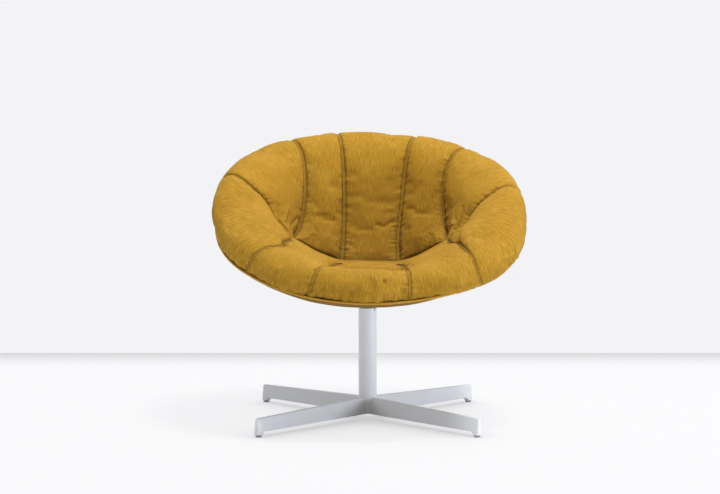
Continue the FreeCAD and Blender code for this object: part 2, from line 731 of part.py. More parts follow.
def seam_spot(turn):
    """Distance and height of the seam between the pad sections and the seat pad."""
    distance = wave(turn, size("seat_back_reach"), size("seat_side_reach"),
                    size("seat_front_reach"))
    height = wave(turn, size("seam_back"), size("seam_side"), size("seam_front"))
    return distance, height


def pad_face(turn):
    """The face of a pad section, from the seat seam over the crest to the piped edge."""
    out = reach(turn)
    crest = crest_height(turn)
    edge = edge_height(turn)
    seam_distance, seam_height = seam_spot(turn)
    shoulder = (out - size("shoulder_inset"), crest - size("shoulder_drop"))
    widest = (out, crest - size("roll_drop"))
    eighth = math.sqrt(0.5)
    roll = size("roll_share")
    return [
        (seam_distance, seam_height),
        (between(seam_distance, shoulder[0], size("face_share")),
         between(seam_height, shoulder[1], size("face_hollow"))),
        shoulder,
        (out - size("crest_inset"), crest),
        (out - size("crest_inset") * (1 - eighth), widest[1] + size("roll_drop") * eighth),
        widest,
        (out - size("edge_inset") * (1 - roll), between(widest[1], edge, roll)),
        (out - size("edge_inset"), edge + size("welt_width") / 2 + size("soft_gap")),
    ]


def closed_wire(turn, runs):
    """A closed wire: each run starts where the last one ends; a run of two is straight."""
    edges = []
    for run in runs:
        places = [spot(turn, distance, height) for distance, height in run]
        if len(places) == 2:
            edges.append(Part.LineSegment(places[0], places[1]).toShape())
        else:
            curve = Part.BSplineCurve()
            curve.interpolate(places)
            edges.append(curve.toShape())
    return Part.Wire(edges)


def sweep_round(section, first, last, steps):
    """A solid through the sections at evenly spaced turns."""
    wires = []
    for step in range(steps + 1):
        wires.append(section(first + (last - first) * step / steps))
    return Part.makeLoft(wires, True, False)


def whole_round(section, steps):
    """A solid all the way round, as two mirrored halves."""
    half = sweep_round(section, 0, 180, steps)
    other = half.mirror(Vector(0, 0, 0), Vector(1, 0, 0))
    return half.fuse(other).removeSplitter()


def piece_of(name, shape):
    piece = document.addObject("Part::Feature", name + "_solid")
    piece.Shape = shape
    piece.Placement = Placement()
    return keep(piece, name)


# Tub: one moulded shell with a flat base, a recess for the seat plate and holes for inserts

HALF_STEPS = 18
plate_radius = size("plate_width") / 2
recess_radius = plate_radius + size("recess_play")
base_radius = size("base_width") / 2


def shell_section(turn):
    outside = tub_outside(turn)
    inside = tub_inside(turn)
    start = (recess_radius - size("disc_overlap"), shell_low)
    start_inside = (recess_radius - size("disc_overlap"), shell_inside)
    return closed_wire(turn, [
        [start, outside[0]],
        outside[:-1],
        [outside[-2], outside[-1]],
        [outside[-1], inside[-1]],
        [inside[-1], inside[-2]],
        list(reversed(inside[:-1])),
        [inside[0], start_inside],
        [start_inside, start],
    ])


def build_shell():
    shape = whole_round(shell_section, HALF_STEPS)
    disc_radius = (recess_radius + base_radius) / 2
    disc = Part.makeCylinder(disc_radius, size("shell_wall"), Vector(0, 0, shell_low))
    shape = shape.fuse(disc).removeSplitter()
    recess = Part.makeCylinder(recess_radius, size("recess_depth") + size("cut_past"),
                               Vector(0, 0, shell_low - size("cut_past")))
    cuts = [recess]
    count = int(size("screw_count"))
    for number in range(count):
        turn = math.radians(size("first_arm_turn") + 360 * number / count)
        across = size("screw_circle") / 2 * math.cos(turn)
        along = size("screw_circle") / 2 * math.sin(turn)
        cuts.append(Part.makeCylinder(size("insert_barrel") / 2 + size("press_fit_gap"),
                                      size("shell_wall") * 2, Vector(across, along, shell_low)))
        cuts.append(Part.makeCylinder(size("insert_flange") / 2 + size("press_fit_gap"),
                                      size("shell_wall"),
                                      Vector(across, along,
                                             shell_inside - size("insert_flange_depth"))))
    return shape.cut(cuts)


piece_of("seat_shell", build_shell())

# Outer cover: a fabric skin under the tub, from the seat plate to the piped edge

def cover_run(turn, outward):
    """The outside of the tub up to just below the piping, moved outward."""
    run = tub_outside(turn)[:-1]
    before, corner = run[-2:]
    length = math.hypot(corner[0] - before[0], corner[1] - before[1])
    share = (size("welt_width") / 2 + size("cover_margin")) / length
    run[-1] = (between(corner[0], before[0], share), between(corner[1], before[1], share))
    return shift(run, outward)


def cover_section(turn):
    gap = size("soft_gap")
    inner = cover_run(turn, gap)
    outer = cover_run(turn, gap + size("cover_wall"))
    start = recess_radius + size("cover_opening")
    outer_start = (start, outer[0][1])
    inner_start = (start, inner[0][1])
    return closed_wire(turn, [
        [outer_start, outer[0]],
        outer,
        [outer[-1], inner[-1]],
        list(reversed(inner)),
        [inner[0], inner_start],
        [inner_start, outer_start],
    ])


piece_of("outer_cover", whole_round(cover_section, HALF_STEPS))

# Piping: a corded welt along the lower edge of the pad

WELT_STEPS = 24


def build_welt():
    """A round cord along a closed smooth curve, swept as two runs that are sewn together."""
    radius = size("welt_width") / 2
    places = []
    for step in range(WELT_STEPS):
        turn = 360 * step / WELT_STEPS
        places.append(spot(turn, reach(turn) - size("edge_inset"), edge_height(turn)))
    curve = Part.BSplineCurve()
    curve.interpolate(Points=places, PeriodicFlag=True)
    first = curve.FirstParameter
    last = curve.LastParameter
    middle = (first + last) / 2
    skins = []
    for start, end in ((first, middle), (middle, last)):
        line = curve.toShape(start, end)
        begin = line.FirstParameter
        end_disc = Part.Face(Part.Wire(
            Part.makeCircle(radius, line.valueAt(begin), line.tangentAt(begin))))
        run = Part.Wire(line).makePipe(end_disc)
        skins += [face for face in run.Faces if face.BoundBox.DiagonalLength > 4 * radius]
    shell = Part.makeShell(skins)
    shell.sewShape()
    return Part.makeSolid(shell)


piece_of("edge_piping", build_welt())

# Pad: ten stuffed sections, sewn at the seams, that wrap over the rim of the tub

LINING_STEPS = 5


def pad_section(turn):
    gap = size("lining_gap")
    face = pad_face(turn)
    wall, rim = tub_outside(turn, gap)[-2:]
    share = (face[-1][1] - wall[1]) / (rim[1] - wall[1])
    tuck = (between(wall[0], rim[0], share), face[-1][1])
    inside = tub_inside(turn, gap)
    length = math.hypot(rim[0] - wall[0], rim[1] - wall[1])
    lift = ((rim[0] - wall[0]) / length * gap, (rim[1] - wall[1]) / length * gap)
    over_outside = (rim[0] + lift[0], rim[1] + lift[1])
    over_inside = (inside[-1][0] + lift[0], inside[-1][1] + lift[1])
    lining = [inside[-2]]
    for step in range(1, LINING_STEPS + 1):
        distance = between(inside[-2][0], face[0][0], step / LINING_STEPS)
        lining.append((distance, height_on(inside[:-1], distance) + gap))
    return closed_wire(turn, [
        face,
        [face[-1], tuck],
        [tuck, over_outside],
        [over_outside, over_inside],
        [over_inside, lining[0]],
        lining,
        [lining[-1], face[0]],
    ])


seams = [size("seam_turn_%d" % number) for number in range(1, 6)]
SIDE_NAMES = ["back", "arm_rear", "arm_front", "front"]
STEP_TURN = 8


def pad_piece(name, first, last):
    steps = max(2, math.ceil(abs(last - first) / STEP_TURN))
    piece_of(name, sweep_round(pad_section, first, last, steps))


pad_piece("pad_back_centre", -seams[0], seams[0])
for place, (first, last) in zip(SIDE_NAMES, zip(seams, seams[1:])):
    pad_piece("pad_%s_left" % place, first, last)
    pad_piece("pad_%s_right" % place, -first, -last)
pad_piece("pad_front_centre", seams[4], 360 - seams[4])

# Seat pad: the middle cushion, dished like the tub that it lies in

FIELD_STEPS = 14
RIM_STEPS = 24


def seat_height(x, y):
    turn = plane_turn(x, y)
    seam_distance, seam_height = seam_spot(turn)
    share = math.hypot(x, y) / seam_distance
    return between(size("seat_top"), seam_height, share ** 2)


def tub_floor(x, y):
    turn = plane_turn(x, y)
    return height_on(tub_inside(turn), math.hypot(x, y)) + 3 * size("soft_gap")


def field(height_at, half_width, half_length):
    """A smooth face over a rectangle, with a height for each place."""
    rows = []
    for column in range(FIELD_STEPS + 1):
        x = half_width * (2 * column / FIELD_STEPS - 1)
        row = []
        for line in range(FIELD_STEPS + 1):
            y = half_length * (2 * line / FIELD_STEPS - 1)
            row.append(Vector(x, y, height_at(x, y)))
        rows.append(row)
    surface = Part.BSplineSurface()
    surface.interpolate(rows)
    return surface.toShape()


def build_seat_pad():
    up = Vector(0, 0, size("seat_block"))
    half_width = size("seat_side_reach") + size("seat_margin")
    half_length = max(size("seat_front_reach"), size("seat_back_reach")) + size("seat_margin")
    under_top = field(seat_height, half_width, half_length).extrude(-up)
    over_floor = field(tub_floor, half_width, half_length).extrude(up)
    rim = []
    for step in range(RIM_STEPS):
        turn = 360 * step / RIM_STEPS
        distance, height = seam_spot(turn)
        rim.append(spot(turn, distance - size("soft_gap"), shell_low))
    curve = Part.BSplineCurve()
    curve.interpolate(Points=rim, PeriodicFlag=True)
    column = Part.Face(Part.Wire(curve.toShape())).extrude(up)
    return column.common(under_top).common(over_floor)


piece_of("seat_centre_pad", build_seat_pad())

# Every piece is checked before any file is written

document.recompute()
problems = []
for item in document.Objects:
    if "Invalid" in item.State or "Error" in item.State:
        problems.append("%s: %s" % (item.Label, item.State))
for piece in nodes:
    if piece.Shape.isNull() or not piece.Shape.isValid():
        problems.append(piece.Label + ": shape is empty or not valid")
if problems:
    raise RuntimeError("; ".join(problems))

os.makedirs("parts", exist_ok=True)
for piece in nodes:
    piece.Shape.exportStep("parts/%s.step" % piece.Label)
    box = piece.Shape.BoundBox
    print("%-24s %2d solids %10.0f mm3  z %.1f to %.1f"
          % (piece.Label, len(piece.Shape.Solids), piece.Shape.Volume, box.ZMin, box.ZMax))
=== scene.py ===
import math

import bmesh
import bpy
import numpy as np
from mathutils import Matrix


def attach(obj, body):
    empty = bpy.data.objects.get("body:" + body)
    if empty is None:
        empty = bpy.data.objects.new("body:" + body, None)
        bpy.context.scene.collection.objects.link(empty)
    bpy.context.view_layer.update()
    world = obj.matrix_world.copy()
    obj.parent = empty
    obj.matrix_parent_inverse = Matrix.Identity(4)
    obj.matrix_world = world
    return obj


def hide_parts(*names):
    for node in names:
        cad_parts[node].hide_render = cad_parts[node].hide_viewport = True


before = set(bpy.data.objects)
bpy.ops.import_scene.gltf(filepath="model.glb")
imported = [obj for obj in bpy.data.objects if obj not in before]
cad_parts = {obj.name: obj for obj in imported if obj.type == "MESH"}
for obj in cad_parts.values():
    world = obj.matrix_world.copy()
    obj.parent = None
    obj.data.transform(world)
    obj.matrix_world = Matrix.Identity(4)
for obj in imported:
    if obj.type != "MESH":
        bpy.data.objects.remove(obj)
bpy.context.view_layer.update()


# Foot glides: four turned nylon discs, pressed by a peg into the turned-down ends of the arms.
# Moulded nylon 6, through-coloured mid grey, scuffed dull by the floor.

def linear(code):
    """A colour in linear light from its sRGB hex code."""
    channels = []
    for place in (1, 3, 5):
        value = int(code[place:place + 2], 16) / 255
        channels.append(value / 12.92 if value <= 0.04045 else ((value + 0.055) / 1.055) ** 2.4)
    return (*channels, 1.0)


def add(tree, kind, inputs=None, **settings):
    """Add a node to a tree; an input takes a value, a socket, or a node for its first output."""
    made = tree.nodes.new(kind)
    for name, value in settings.items():
        setattr(made, name, value)
    for name, value in (inputs or {}).items():
        if isinstance(value, bpy.types.Node):
            value = value.outputs[0]
        if isinstance(value, bpy.types.NodeSocket):
            tree.links.new(value, made.inputs[name])
        else:
            made.inputs[name].default_value = value
    return made


def new_material(name):
    """An empty node material and its tree."""
    material = bpy.data.materials.new(name)
    material.use_nodes = True
    material.node_tree.nodes.clear()
    return material, material.node_tree


def noise(tree, place, size, detail, **more):
    """Noise from 0 to 1 with patches of about the size, in the units of the place."""
    return add(tree, "ShaderNodeTexNoise",
               {"Vector": place, "Scale": 1 / size, "Detail": detail, **more})


def mixed(tree, share, first, second):
    """A colour between two."""
    return add(tree, "ShaderNodeMix", {0: share, 6: first, 7: second},
               data_type="RGBA").outputs[2]


def mottled(name, dark, light, grain, rough, bump_depth=0.0, bump_grain=1.0, **sockets):
    """A finish whose colour and gloss drift between two values, with a fine surface grain.

    Grain sizes are in metres, the bump's depth too; sockets are the shader's other values."""
    material, tree = new_material(name)
    place = add(tree, "ShaderNodeTexCoord").outputs["Object"]
    patches = noise(tree, place, grain, 4.0)
    gloss = add(tree, "ShaderNodeMapRange",
                {"Value": patches, "To Min": rough[0], "To Max": rough[1]})
    inputs = {"Base Color": mixed(tree, patches, linear(dark), linear(light)),
              "Roughness": gloss}
    inputs.update(sockets)
    if bump_depth:
        inputs["Normal"] = add(tree, "ShaderNodeBump", {
            "Height": noise(tree, place, bump_grain, 3.0), "Distance": bump_depth})
    shader = add(tree, "ShaderNodeBsdfPrincipled", inputs)
    add(tree, "ShaderNodeOutputMaterial", {"Surface": shader})
    return material


def dress(material, *names):
    """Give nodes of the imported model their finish."""
    for name in names:
        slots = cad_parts[name].data.materials
        slots.clear()
        slots.append(material)


glide_nylon = mottled("moulded grey nylon", "#85888c", "#96999d", 0.004, (0.45, 0.6),
                      bump_depth=0.00008, bump_grain=0.0008, IOR=1.53)
dress(glide_nylon, "foot_glide_left_back", "foot_glide_right_back",
      "foot_glide_right_front", "foot_glide_left_front")


# Cast foot: one aluminium die-casting, a short hub with four tapered arms whose ends turn down.
# Every edge is rounded as a mould leaves it; it is powder-coated light grey with the column.

UNDER = (0.016, 0.012)  # floor to the underside of an arm, at the hub and at the end
TOP = (0.056, 0.045)  # floor to its top
FOOT_WIDTH = (0.0306, 0.0156)
RIDGE_WIDTH = (0.010, 0.0067)
ARM_START, ARM_END = 0.0135, 0.3742
LOFT_START = 0.01125  # where the casting's straight taper begins
FOOT_INSIDE = 0.3586  # inner face of the turned-down end
FOOT_LOW = 0.005
EDGE_ROUND = 0.0013
RIDGE_ROUND = 0.0024
BEND_UP, BEND_ROUND = 0.003, 0.001  # from the underside to the bend of a flank
LEAST_ROUND = 0.0002
ARM_STEPS, END_STEPS = 8, 4
CREASE = 38  # degrees: sharper edges stay crisp


def inset(corners, depth):
    """A convex outline moved inwards: every side shifts by the depth."""
    number = len(corners)
    moved = []
    for index in range(number):
        before, here, after = corners[index - 1], corners[index], corners[(index + 1) % number]
        first = np.subtract(here, before) / np.linalg.norm(np.subtract(here, before))
        second = np.subtract(after, here) / np.linalg.norm(np.subtract(after, here))
        inward = np.array([-first[1] - second[1], first[0] + second[0]])
        inward /= np.linalg.norm(inward)
        share = depth / max(0.2, float(np.dot(inward, (-first[1], first[0]))))
        moved.append(np.add(here, inward * share))
    return moved


def rounded(corners, radii, steps=5):
    """A convex outline with each corner turned into a small arc."""
    points = []
    number = len(corners)
    for index in range(number):
        here = np.array(corners[index])
        to_last = np.array(corners[index - 1]) - here
        to_next = np.array(corners[(index + 1) % number]) - here
        to_last /= np.linalg.norm(to_last)
        to_next /= np.linalg.norm(to_next)
        half = math.acos(float(np.clip(np.dot(to_last, to_next), -1, 1))) / 2
        centre_way = to_last + to_next
        centre_way /= np.linalg.norm(centre_way)
        centre = here + centre_way * radii[index] / math.sin(half)
        start = here + to_last * radii[index] / math.tan(half) - centre
        end = here + to_next * radii[index] / math.tan(half) - centre
        for step in range(steps + 1):
            share = step / steps
            way = start * (1 - share) + end * share
            points.append(centre + way / np.linalg.norm(way) * radii[index])
    return points


def arm_section(along, depth):
    """The outline of an arm across its length: six rounded corners, as (across, up)."""
    share = (along - LOFT_START) / (ARM_END - LOFT_START)
    under = UNDER[0] + (UNDER[1] - UNDER[0]) * share
    top = TOP[0] + (TOP[1] - TOP[0]) * share
    half = (FOOT_WIDTH[0] + (FOOT_WIDTH[1] - FOOT_WIDTH[0]) * share) / 2
    ridge = (RIDGE_WIDTH[0] + (RIDGE_WIDTH[1] - RIDGE_WIDTH[0]) * share) / 2
    drop = under - FOOT_LOW
    near = np.clip((along - (FOOT_INSIDE - drop)) / drop, 0, 1)
    low = under - drop * (1 - math.sqrt(1 - near ** 2))
    bend = under + BEND_UP
    bend_half = half + (ridge - half) * (bend - under) / (top - under)
    corners = [(-half, low), (half, low), (bend_half, bend), (ridge, top), (-ridge, top),
               (-bend_half, bend)]
    radii = [EDGE_ROUND, EDGE_ROUND, BEND_ROUND, RIDGE_ROUND, RIDGE_ROUND, BEND_ROUND]
    return rounded(inset(corners, depth), [max(radius - depth, LEAST_ROUND) for radius in radii])


def ring_faces(low, high, around, flip=False):
    """Faces between two closed rings, given the first point of each."""
    faces = []
    for index in range(around):
        following = (index + 1) % around
        face = (low + index, low + following, high + following, high + index)
        faces.append(face[::-1] if flip else face)
    return faces


def tube_faces(rings, around, first=0, flip=False):
    """Faces between rings of points that lie one after another."""
    faces = []
    for low in range(first, first + (rings - 1) * around, around):
        faces += ring_faces(low, low + around, around, flip)
    return faces


def turned_rings(profile, around):
    """Points of a profile of (radius, height) turned about the column's axis."""
    points = []
    for radius, height in profile:
        for index in range(around):
            angle = 2 * math.pi * index / around
            points.append((radius * math.cos(angle), radius * math.sin(angle), height))
    return points


def placed(name, data):
    """An object of the scene that holds the data."""
    made = bpy.data.objects.new(name, data)
    bpy.context.scene.collection.objects.link(made)
    return made


def new_piece(name, points, faces, *materials, uv=None):
    """A smooth shaded piece; uv gives one pair, in metres of cloth, for each point."""
    mesh = bpy.data.meshes.new(name)
    mesh.from_pydata([tuple(map(float, point)) for point in points], [], faces)
    mesh.update()
    mesh.polygons.foreach_set("use_smooth", [True] * len(mesh.polygons))
    if uv is not None:
        corner = np.empty(len(mesh.loops), int)
        mesh.loops.foreach_get("vertex_index", corner)
        layer = mesh.uv_layers.new(name="cloth")
        layer.data.foreach_set("uv", np.asarray(uv, np.float32)[corner].ravel())
    for material in materials:
        mesh.materials.append(material)
    return placed(name, mesh)


def baked(piece):
    """The mesh that a piece's modifiers make of it takes the place of its own."""
    bpy.context.view_layer.update()
    mesh = bpy.data.meshes.new_from_object(
        piece.evaluated_get(bpy.context.evaluated_depsgraph_get()))
    piece.modifiers.clear()
    piece.data = mesh
    mesh.name = piece.name


def sharpen(piece, degrees):
    """Keep edges sharper than the angle crisp in the shading."""
    shape = bmesh.new()
    shape.from_mesh(piece.data)
    for edge in shape.edges:
        edge.smooth = edge.calc_face_angle(0) < math.radians(degrees)
    shape.to_mesh(piece.data)
    shape.free()


def arm_piece(turn):
    """One arm, along its turn from the X axis."""
    drop = UNDER[1] - FOOT_LOW
    stations = [(ARM_START, 0.0)]
    for step in range(1, ARM_STEPS + 1):
        stations.append((ARM_START + (FOOT_INSIDE - drop - ARM_START) * step / ARM_STEPS, 0.0))
    for step in range(1, ARM_STEPS + 1):
        angle = math.pi / 2 * step / ARM_STEPS
        stations.append((FOOT_INSIDE - drop + drop * math.sin(angle), 0.0))
    for step in range(END_STEPS + 1):
        angle = math.pi / 2 * step / END_STEPS
        stations.append((ARM_END - EDGE_ROUND + EDGE_ROUND * math.sin(angle),
                         EDGE_ROUND * (1 - math.cos(angle))))
    points = []
    way = (math.cos(turn), math.sin(turn))
    for along, depth in stations:
        for across, up in arm_section(along, depth):
            points.append((along * way[0] - across * way[1],
                           along * way[1] + across * way[0], up))
    around = len(points) // len(stations)
    faces = tube_faces(len(stations), around)
    faces.append(tuple(reversed(range(around))))
    faces.append(tuple(range(len(points) - around, len(points))))
    return new_piece("arm", points, faces)


HUB_PROFILE = [  # radius and height, up the outside of the hub and down through its bolt hole
    (0.01197, 0.0160), (0.0219, 0.0160), (0.0225, 0.0166), (0.0225, 0.0594), (0.0219, 0.0600),
    (0.01999, 0.0600), (0.01999, 0.1014), (0.0194, 0.1020), (0.0065, 0.1020), (0.0065, 0.0280),
    (0.01197, 0.0280)]
HUB_AROUND = 96
hub_points = turned_rings(HUB_PROFILE, HUB_AROUND)
hub_faces = tube_faces(len(HUB_PROFILE), HUB_AROUND)
hub_faces += ring_faces((len(HUB_PROFILE) - 1) * HUB_AROUND, 0, HUB_AROUND)
cast_foot = new_piece("cast_foot", hub_points, hub_faces)
for quarter in range(4):
    arm = arm_piece(math.radians(45 + 90 * quarter))
    join = cast_foot.modifiers.new("join", "BOOLEAN")
    join.operation = "UNION"
    join.object = arm
    baked(cast_foot)
    bpy.data.objects.remove(arm)
sharpen(cast_foot, CREASE)

# Powder coat: a thermoset polyester film, satin, with the faint orange peel that it flows out to.
powder_coat = mottled("satin grey powder coat", "#dde0e3", "#e3e6e9", 0.05, (0.34, 0.42),
                      bump_depth=0.00005, bump_grain=0.0022, IOR=1.5)
cast_foot.data.materials.clear()
cast_foot.data.materials.append(powder_coat)
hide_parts("star_base")
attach(cast_foot, "pedestal")


# Column: a welded steel tube, 45 mm across, that stands on the hub and is coated with it.
# A zinc-plated bolt and washer pull it down through the threaded plug pressed into the tube.

dress(powder_coat, "column_tube")
zinc_plate = mottled("bright zinc plate", "#a9abac", "#c2c4c4", 0.003, (0.28, 0.45),
                     bump_depth=0.00004, bump_grain=0.0006, Metallic=1.0)
dress(zinc_plate, "column_plug", "hub_bolt", "hub_washer", "plate_washers", "plate_screws",
      "end_washer", "retaining_ring")


# Bushes: two moulded acetal sleeves pressed into the tube; the upper one has a flange and a lug.
# Black acetal is waxy to the touch and slides on the spindle without oil.

bush_acetal = mottled("moulded black acetal", "#26282a", "#303234", 0.003, (0.32, 0.42),
                      bump_depth=0.00003, bump_grain=0.0007, IOR=1.48)
dress(bush_acetal, "upper_bush", "lower_bush")


# Thrust bearing: two ground steel washers with fourteen balls between them in a brass cage.

bearing_steel = mottled("ground bearing steel", "#b4b5b4", "#cfd0cf", 0.002, (0.12, 0.25),
                        Metallic=1.0)
cage_brass = mottled("stamped brass", "#a98a4c", "#c2a25e", 0.002, (0.25, 0.4), Metallic=1.0)
dress(bearing_steel, "lower_race", "upper_race", "bearing_balls")
dress(cage_brass, "bearing_cage", "threaded_inserts")


# Seat plate and spindle: a laser-cut steel disc with a turned boss and pin welded into it,
# blackened against rust; four screws hold it in the recess below the tub.

black_oxide = mottled("blackened mild steel", "#3a3c3e", "#4b4d4f", 0.01, (0.38, 0.55),
                      bump_depth=0.00005, bump_grain=0.001, Metallic=0.85)
dress(black_oxide, "seat_plate", "spindle")


# Tub: one moulded polypropylene shell that carries the whole seat; the upholstery hides it.

tub_plastic = mottled("moulded black polypropylene", "#1f2021", "#292a2b", 0.02, (0.5, 0.62),
                      bump_depth=0.0001, bump_grain=0.0015, IOR=1.49)
dress(tub_plastic, "seat_shell")


# Outer cover: the fabric skin below the seat, cut in panels, pulled over the tub from the edge
# of the seat plate to the piping and glued. Its upper edge is gathered a little by the welt.

HALF_WIDTH, HALF_LENGTH = 0.381, 0.345  # seat centre to the outside of the pad
TILT = math.tan(math.radians(1.12))  # the upholstery hangs a little lower on the left side
SIDE_SHIFT = 0.0041  # and sits a little towards it
EDGE_INSET = 0.0085  # outside of the pad to the piped edge
FRONT_CORNERS, CORNER_BELLY = (130, 233), 0.008
TUB_INSET = 0.0153  # outside of the pad to the outside of the tub below it
TUB_LOW = 0.2951  # underside of the tub
TUB_BASE = 0.105  # radius of its flat base
TUB_POWER = 1.5  # how steeply its underside curves up


def waves(turn, terms):
    """A value round the seat, the sum of cosines of the turn from the back."""
    return sum(term * np.cos(order * turn) for order, term in enumerate(terms))


def reach(turn):
    """Seat centre to the outside of the pad."""
    return np.hypot(HALF_WIDTH * np.sin(turn), HALF_LENGTH * np.cos(turn))


def edge_height(turn):
    return waves(turn, (0.474, 0.147))


def crest_height(turn):
    return waves(turn, (0.5509, 0.1500, -0.0112, -0.0051, 0.0031))


def place(turn, distance, height):
    """Points of the chair from turn, distance from the seat centre, and height."""
    share = distance / reach(turn)
    return np.stack([HALF_WIDTH * share * np.sin(turn), HALF_LENGTH * share * np.cos(turn),
                     height + 0 * share], -1)


def edge_distance(turn):
    """Distance of the piped edge; it bellies out a little at the two front corners."""
    corners = sum(np.exp(-((np.degrees(turn) % 360 - middle) / 24) ** 2)
                  for middle in FRONT_CORNERS)
    return reach(turn) - EDGE_INSET + CORNER_BELLY * corners


def hung(points):
    """The tilt and sideways shift of the upholstery, growing from the base to the edge."""
    grown = np.clip((points[..., 2] - TUB_LOW - 0.02) / 0.06, 0, 1)
    moved = points.copy()
    moved[..., 0] += SIDE_SHIFT * grown
    moved[..., 2] -= TILT * points[..., 0] * grown
    return moved


def tub_run(turn):
    """How far the tub's underside reaches out from its base."""
    return reach(turn) - TUB_INSET - TUB_BASE


def off_tub(turn, share, out):
    """Distance and height off the tub's underside, at a share of the way up it."""
    rise, run = edge_height(turn) - TUB_LOW, tub_run(turn)
    slope = TUB_POWER * rise * share ** (TUB_POWER - 1)
    length = np.hypot(run, slope)
    return (TUB_BASE + run * share + slope / length * out,
            TUB_LOW + rise * share ** TUB_POWER - run / length * out)


def ripple(along, spacing, seed):
    """Uneven waves of height about 1 along a length, never the same twice in a row."""
    draw = np.random.RandomState(seed)
    total = 0
    for _ in range(9):
        wave = spacing * draw.uniform(0.6, 1.9)
        total = total + np.cos(2 * math.pi * along / wave + draw.uniform(0, 2 * math.pi))
    return total / 3


def lumps(points, spacing, seed):
    """Smooth uneven hills of height about 1 in space."""
    draw = np.random.RandomState(seed)
    total = 0
    for _ in range(18):
        way = draw.normal(size=3)
        way *= 2 * math.pi / (spacing * draw.uniform(0.7, 1.8)) / np.linalg.norm(way)
        total = total + np.cos(points @ way + draw.uniform(0, 2 * math.pi))
    return total / 4.2


def closed_round(number):
    """Turns of evenly spaced columns all the way round."""
    return np.arange(number) * (2 * math.pi / number)


def last_part(share, start):
    """0 up to the start of the last part of the way, then growing to 1 at the edge."""
    return np.clip((share - start) / (1 - start), 0, 1) ** 2


COVER_COLUMNS, COVER_ROWS = 288, 40
COVER_START = 0.093  # the cover's lower edge, glued under the flat base
BASE_ROWS = 3  # rows from there to the rim of the base
ROW_CROWDING = 0.8  # rows stand closer together towards the base
OUTSIDE, INSIDE = (0.0021, 0.0008), (0.0005, -0.0002)  # off the tub, and past the piped edge
EDGE_DROP = 0.0024  # the cover ends this far below the middle of the edge
ARC = 0.36  # turn in radians to metres along the edge, about
GATHER_DEPTH, GATHER_SPACING, GATHER_MOST = 0.0012, 0.021, 0.004
SLACK_DEPTH, SLACK_SPACING, SLACK_MOST = 0.0007, 0.13, 0.003
LOOSE_FROM, EDGE_FROM = 0.80, 0.86  # shares of the way up at which it leaves the tub
CLOTH_ROUND, CLOTH_UP = 0.30, 0.34  # metres of cloth to a radian, and up the underside
cover_turn = closed_round(COVER_COLUMNS)
cover_points = []
cover_uv = []
for offset, lip in (OUTSIDE, INSIDE):
    for row in range(COVER_ROWS):
        share = max(0.0, (row - BASE_ROWS) / (COVER_ROWS - 1 - BASE_ROWS)) ** ROW_CROWDING
        loose = last_part(share, LOOSE_FROM)
        pucker = GATHER_DEPTH * loose * (1 + ripple(cover_turn * ARC, GATHER_SPACING, 5))
        slack = SLACK_DEPTH * share * (1 + ripple(cover_turn * ARC + 0.1 * share,
                                                  SLACK_SPACING, 9))
        out = offset + np.clip(pucker, 0, GATHER_MOST) + np.clip(slack, 0, SLACK_MOST)
        distance, height = off_tub(cover_turn, share, out)
        distance = distance - (TUB_BASE - COVER_START) * max(0.0, 1 - row / BASE_ROWS)
        end = last_part(share, EDGE_FROM)
        distance = distance * (1 - end) + (edge_distance(cover_turn) + lip) * end
        height = height * (1 - end) + (edge_height(cover_turn) - EDGE_DROP) * end
        # Below the edge the cover stays on the tub, which hangs straight.
        on_tub = place(cover_turn, distance, height)
        cover_points.append(on_tub * (1 - loose) + hung(on_tub) * loose)
        cover_uv.append(np.stack([cover_turn * CLOTH_ROUND, 0 * cover_turn + share * CLOTH_UP],
                                 -1))
cover_points = np.concatenate(cover_points)
inner_first = COVER_ROWS * COVER_COLUMNS
top_ring = (COVER_ROWS - 1) * COVER_COLUMNS
cover_faces = (tube_faces(COVER_ROWS, COVER_COLUMNS, flip=True)
               + tube_faces(COVER_ROWS, COVER_COLUMNS, inner_first)
               + ring_faces(0, inner_first, COVER_COLUMNS)
               + ring_faces(top_ring, inner_first + top_ring, COVER_COLUMNS, flip=True))

# Mustard upholstery cloth: a plain weave of spun polyester. Its warp is slubbed, which catches
# the light as fine upright streaks, and a short soft nap brightens where it turns away.

SLUB = (0.0017857, 0.02381)  # size of a slub across and along the warp
PICK = (0.016667, 0.0016129)  # and of an uneven stretch of weft, along and across it
PATCH = 0.1111  # size of the drifts in tone
DRAWN_THREAD = 0.0018  # threads lie 0.9 mm apart and are drawn twice as coarse, to show
PAINTED_SEAM_SHADE = "#5f430c"  # painted shade of the cloth, at stitches, between sections and where ambient occlusion is high
NAP_TINT = "#e2c083"
PAINTED_CLOTH_SHADE_REACH = 0.24  # how near a neighbour darkens the cloth with painted shade


def between_values(tree, share, first, second):
    """A value between two."""
    return add(tree, "ShaderNodeMix", {0: share, 2: first, 3: second},
               data_type="FLOAT")


def worked(tree, operation, first, second):
    """A value from two."""
    return add(tree, "ShaderNodeMath", {0: first, 1: second}, operation=operation)


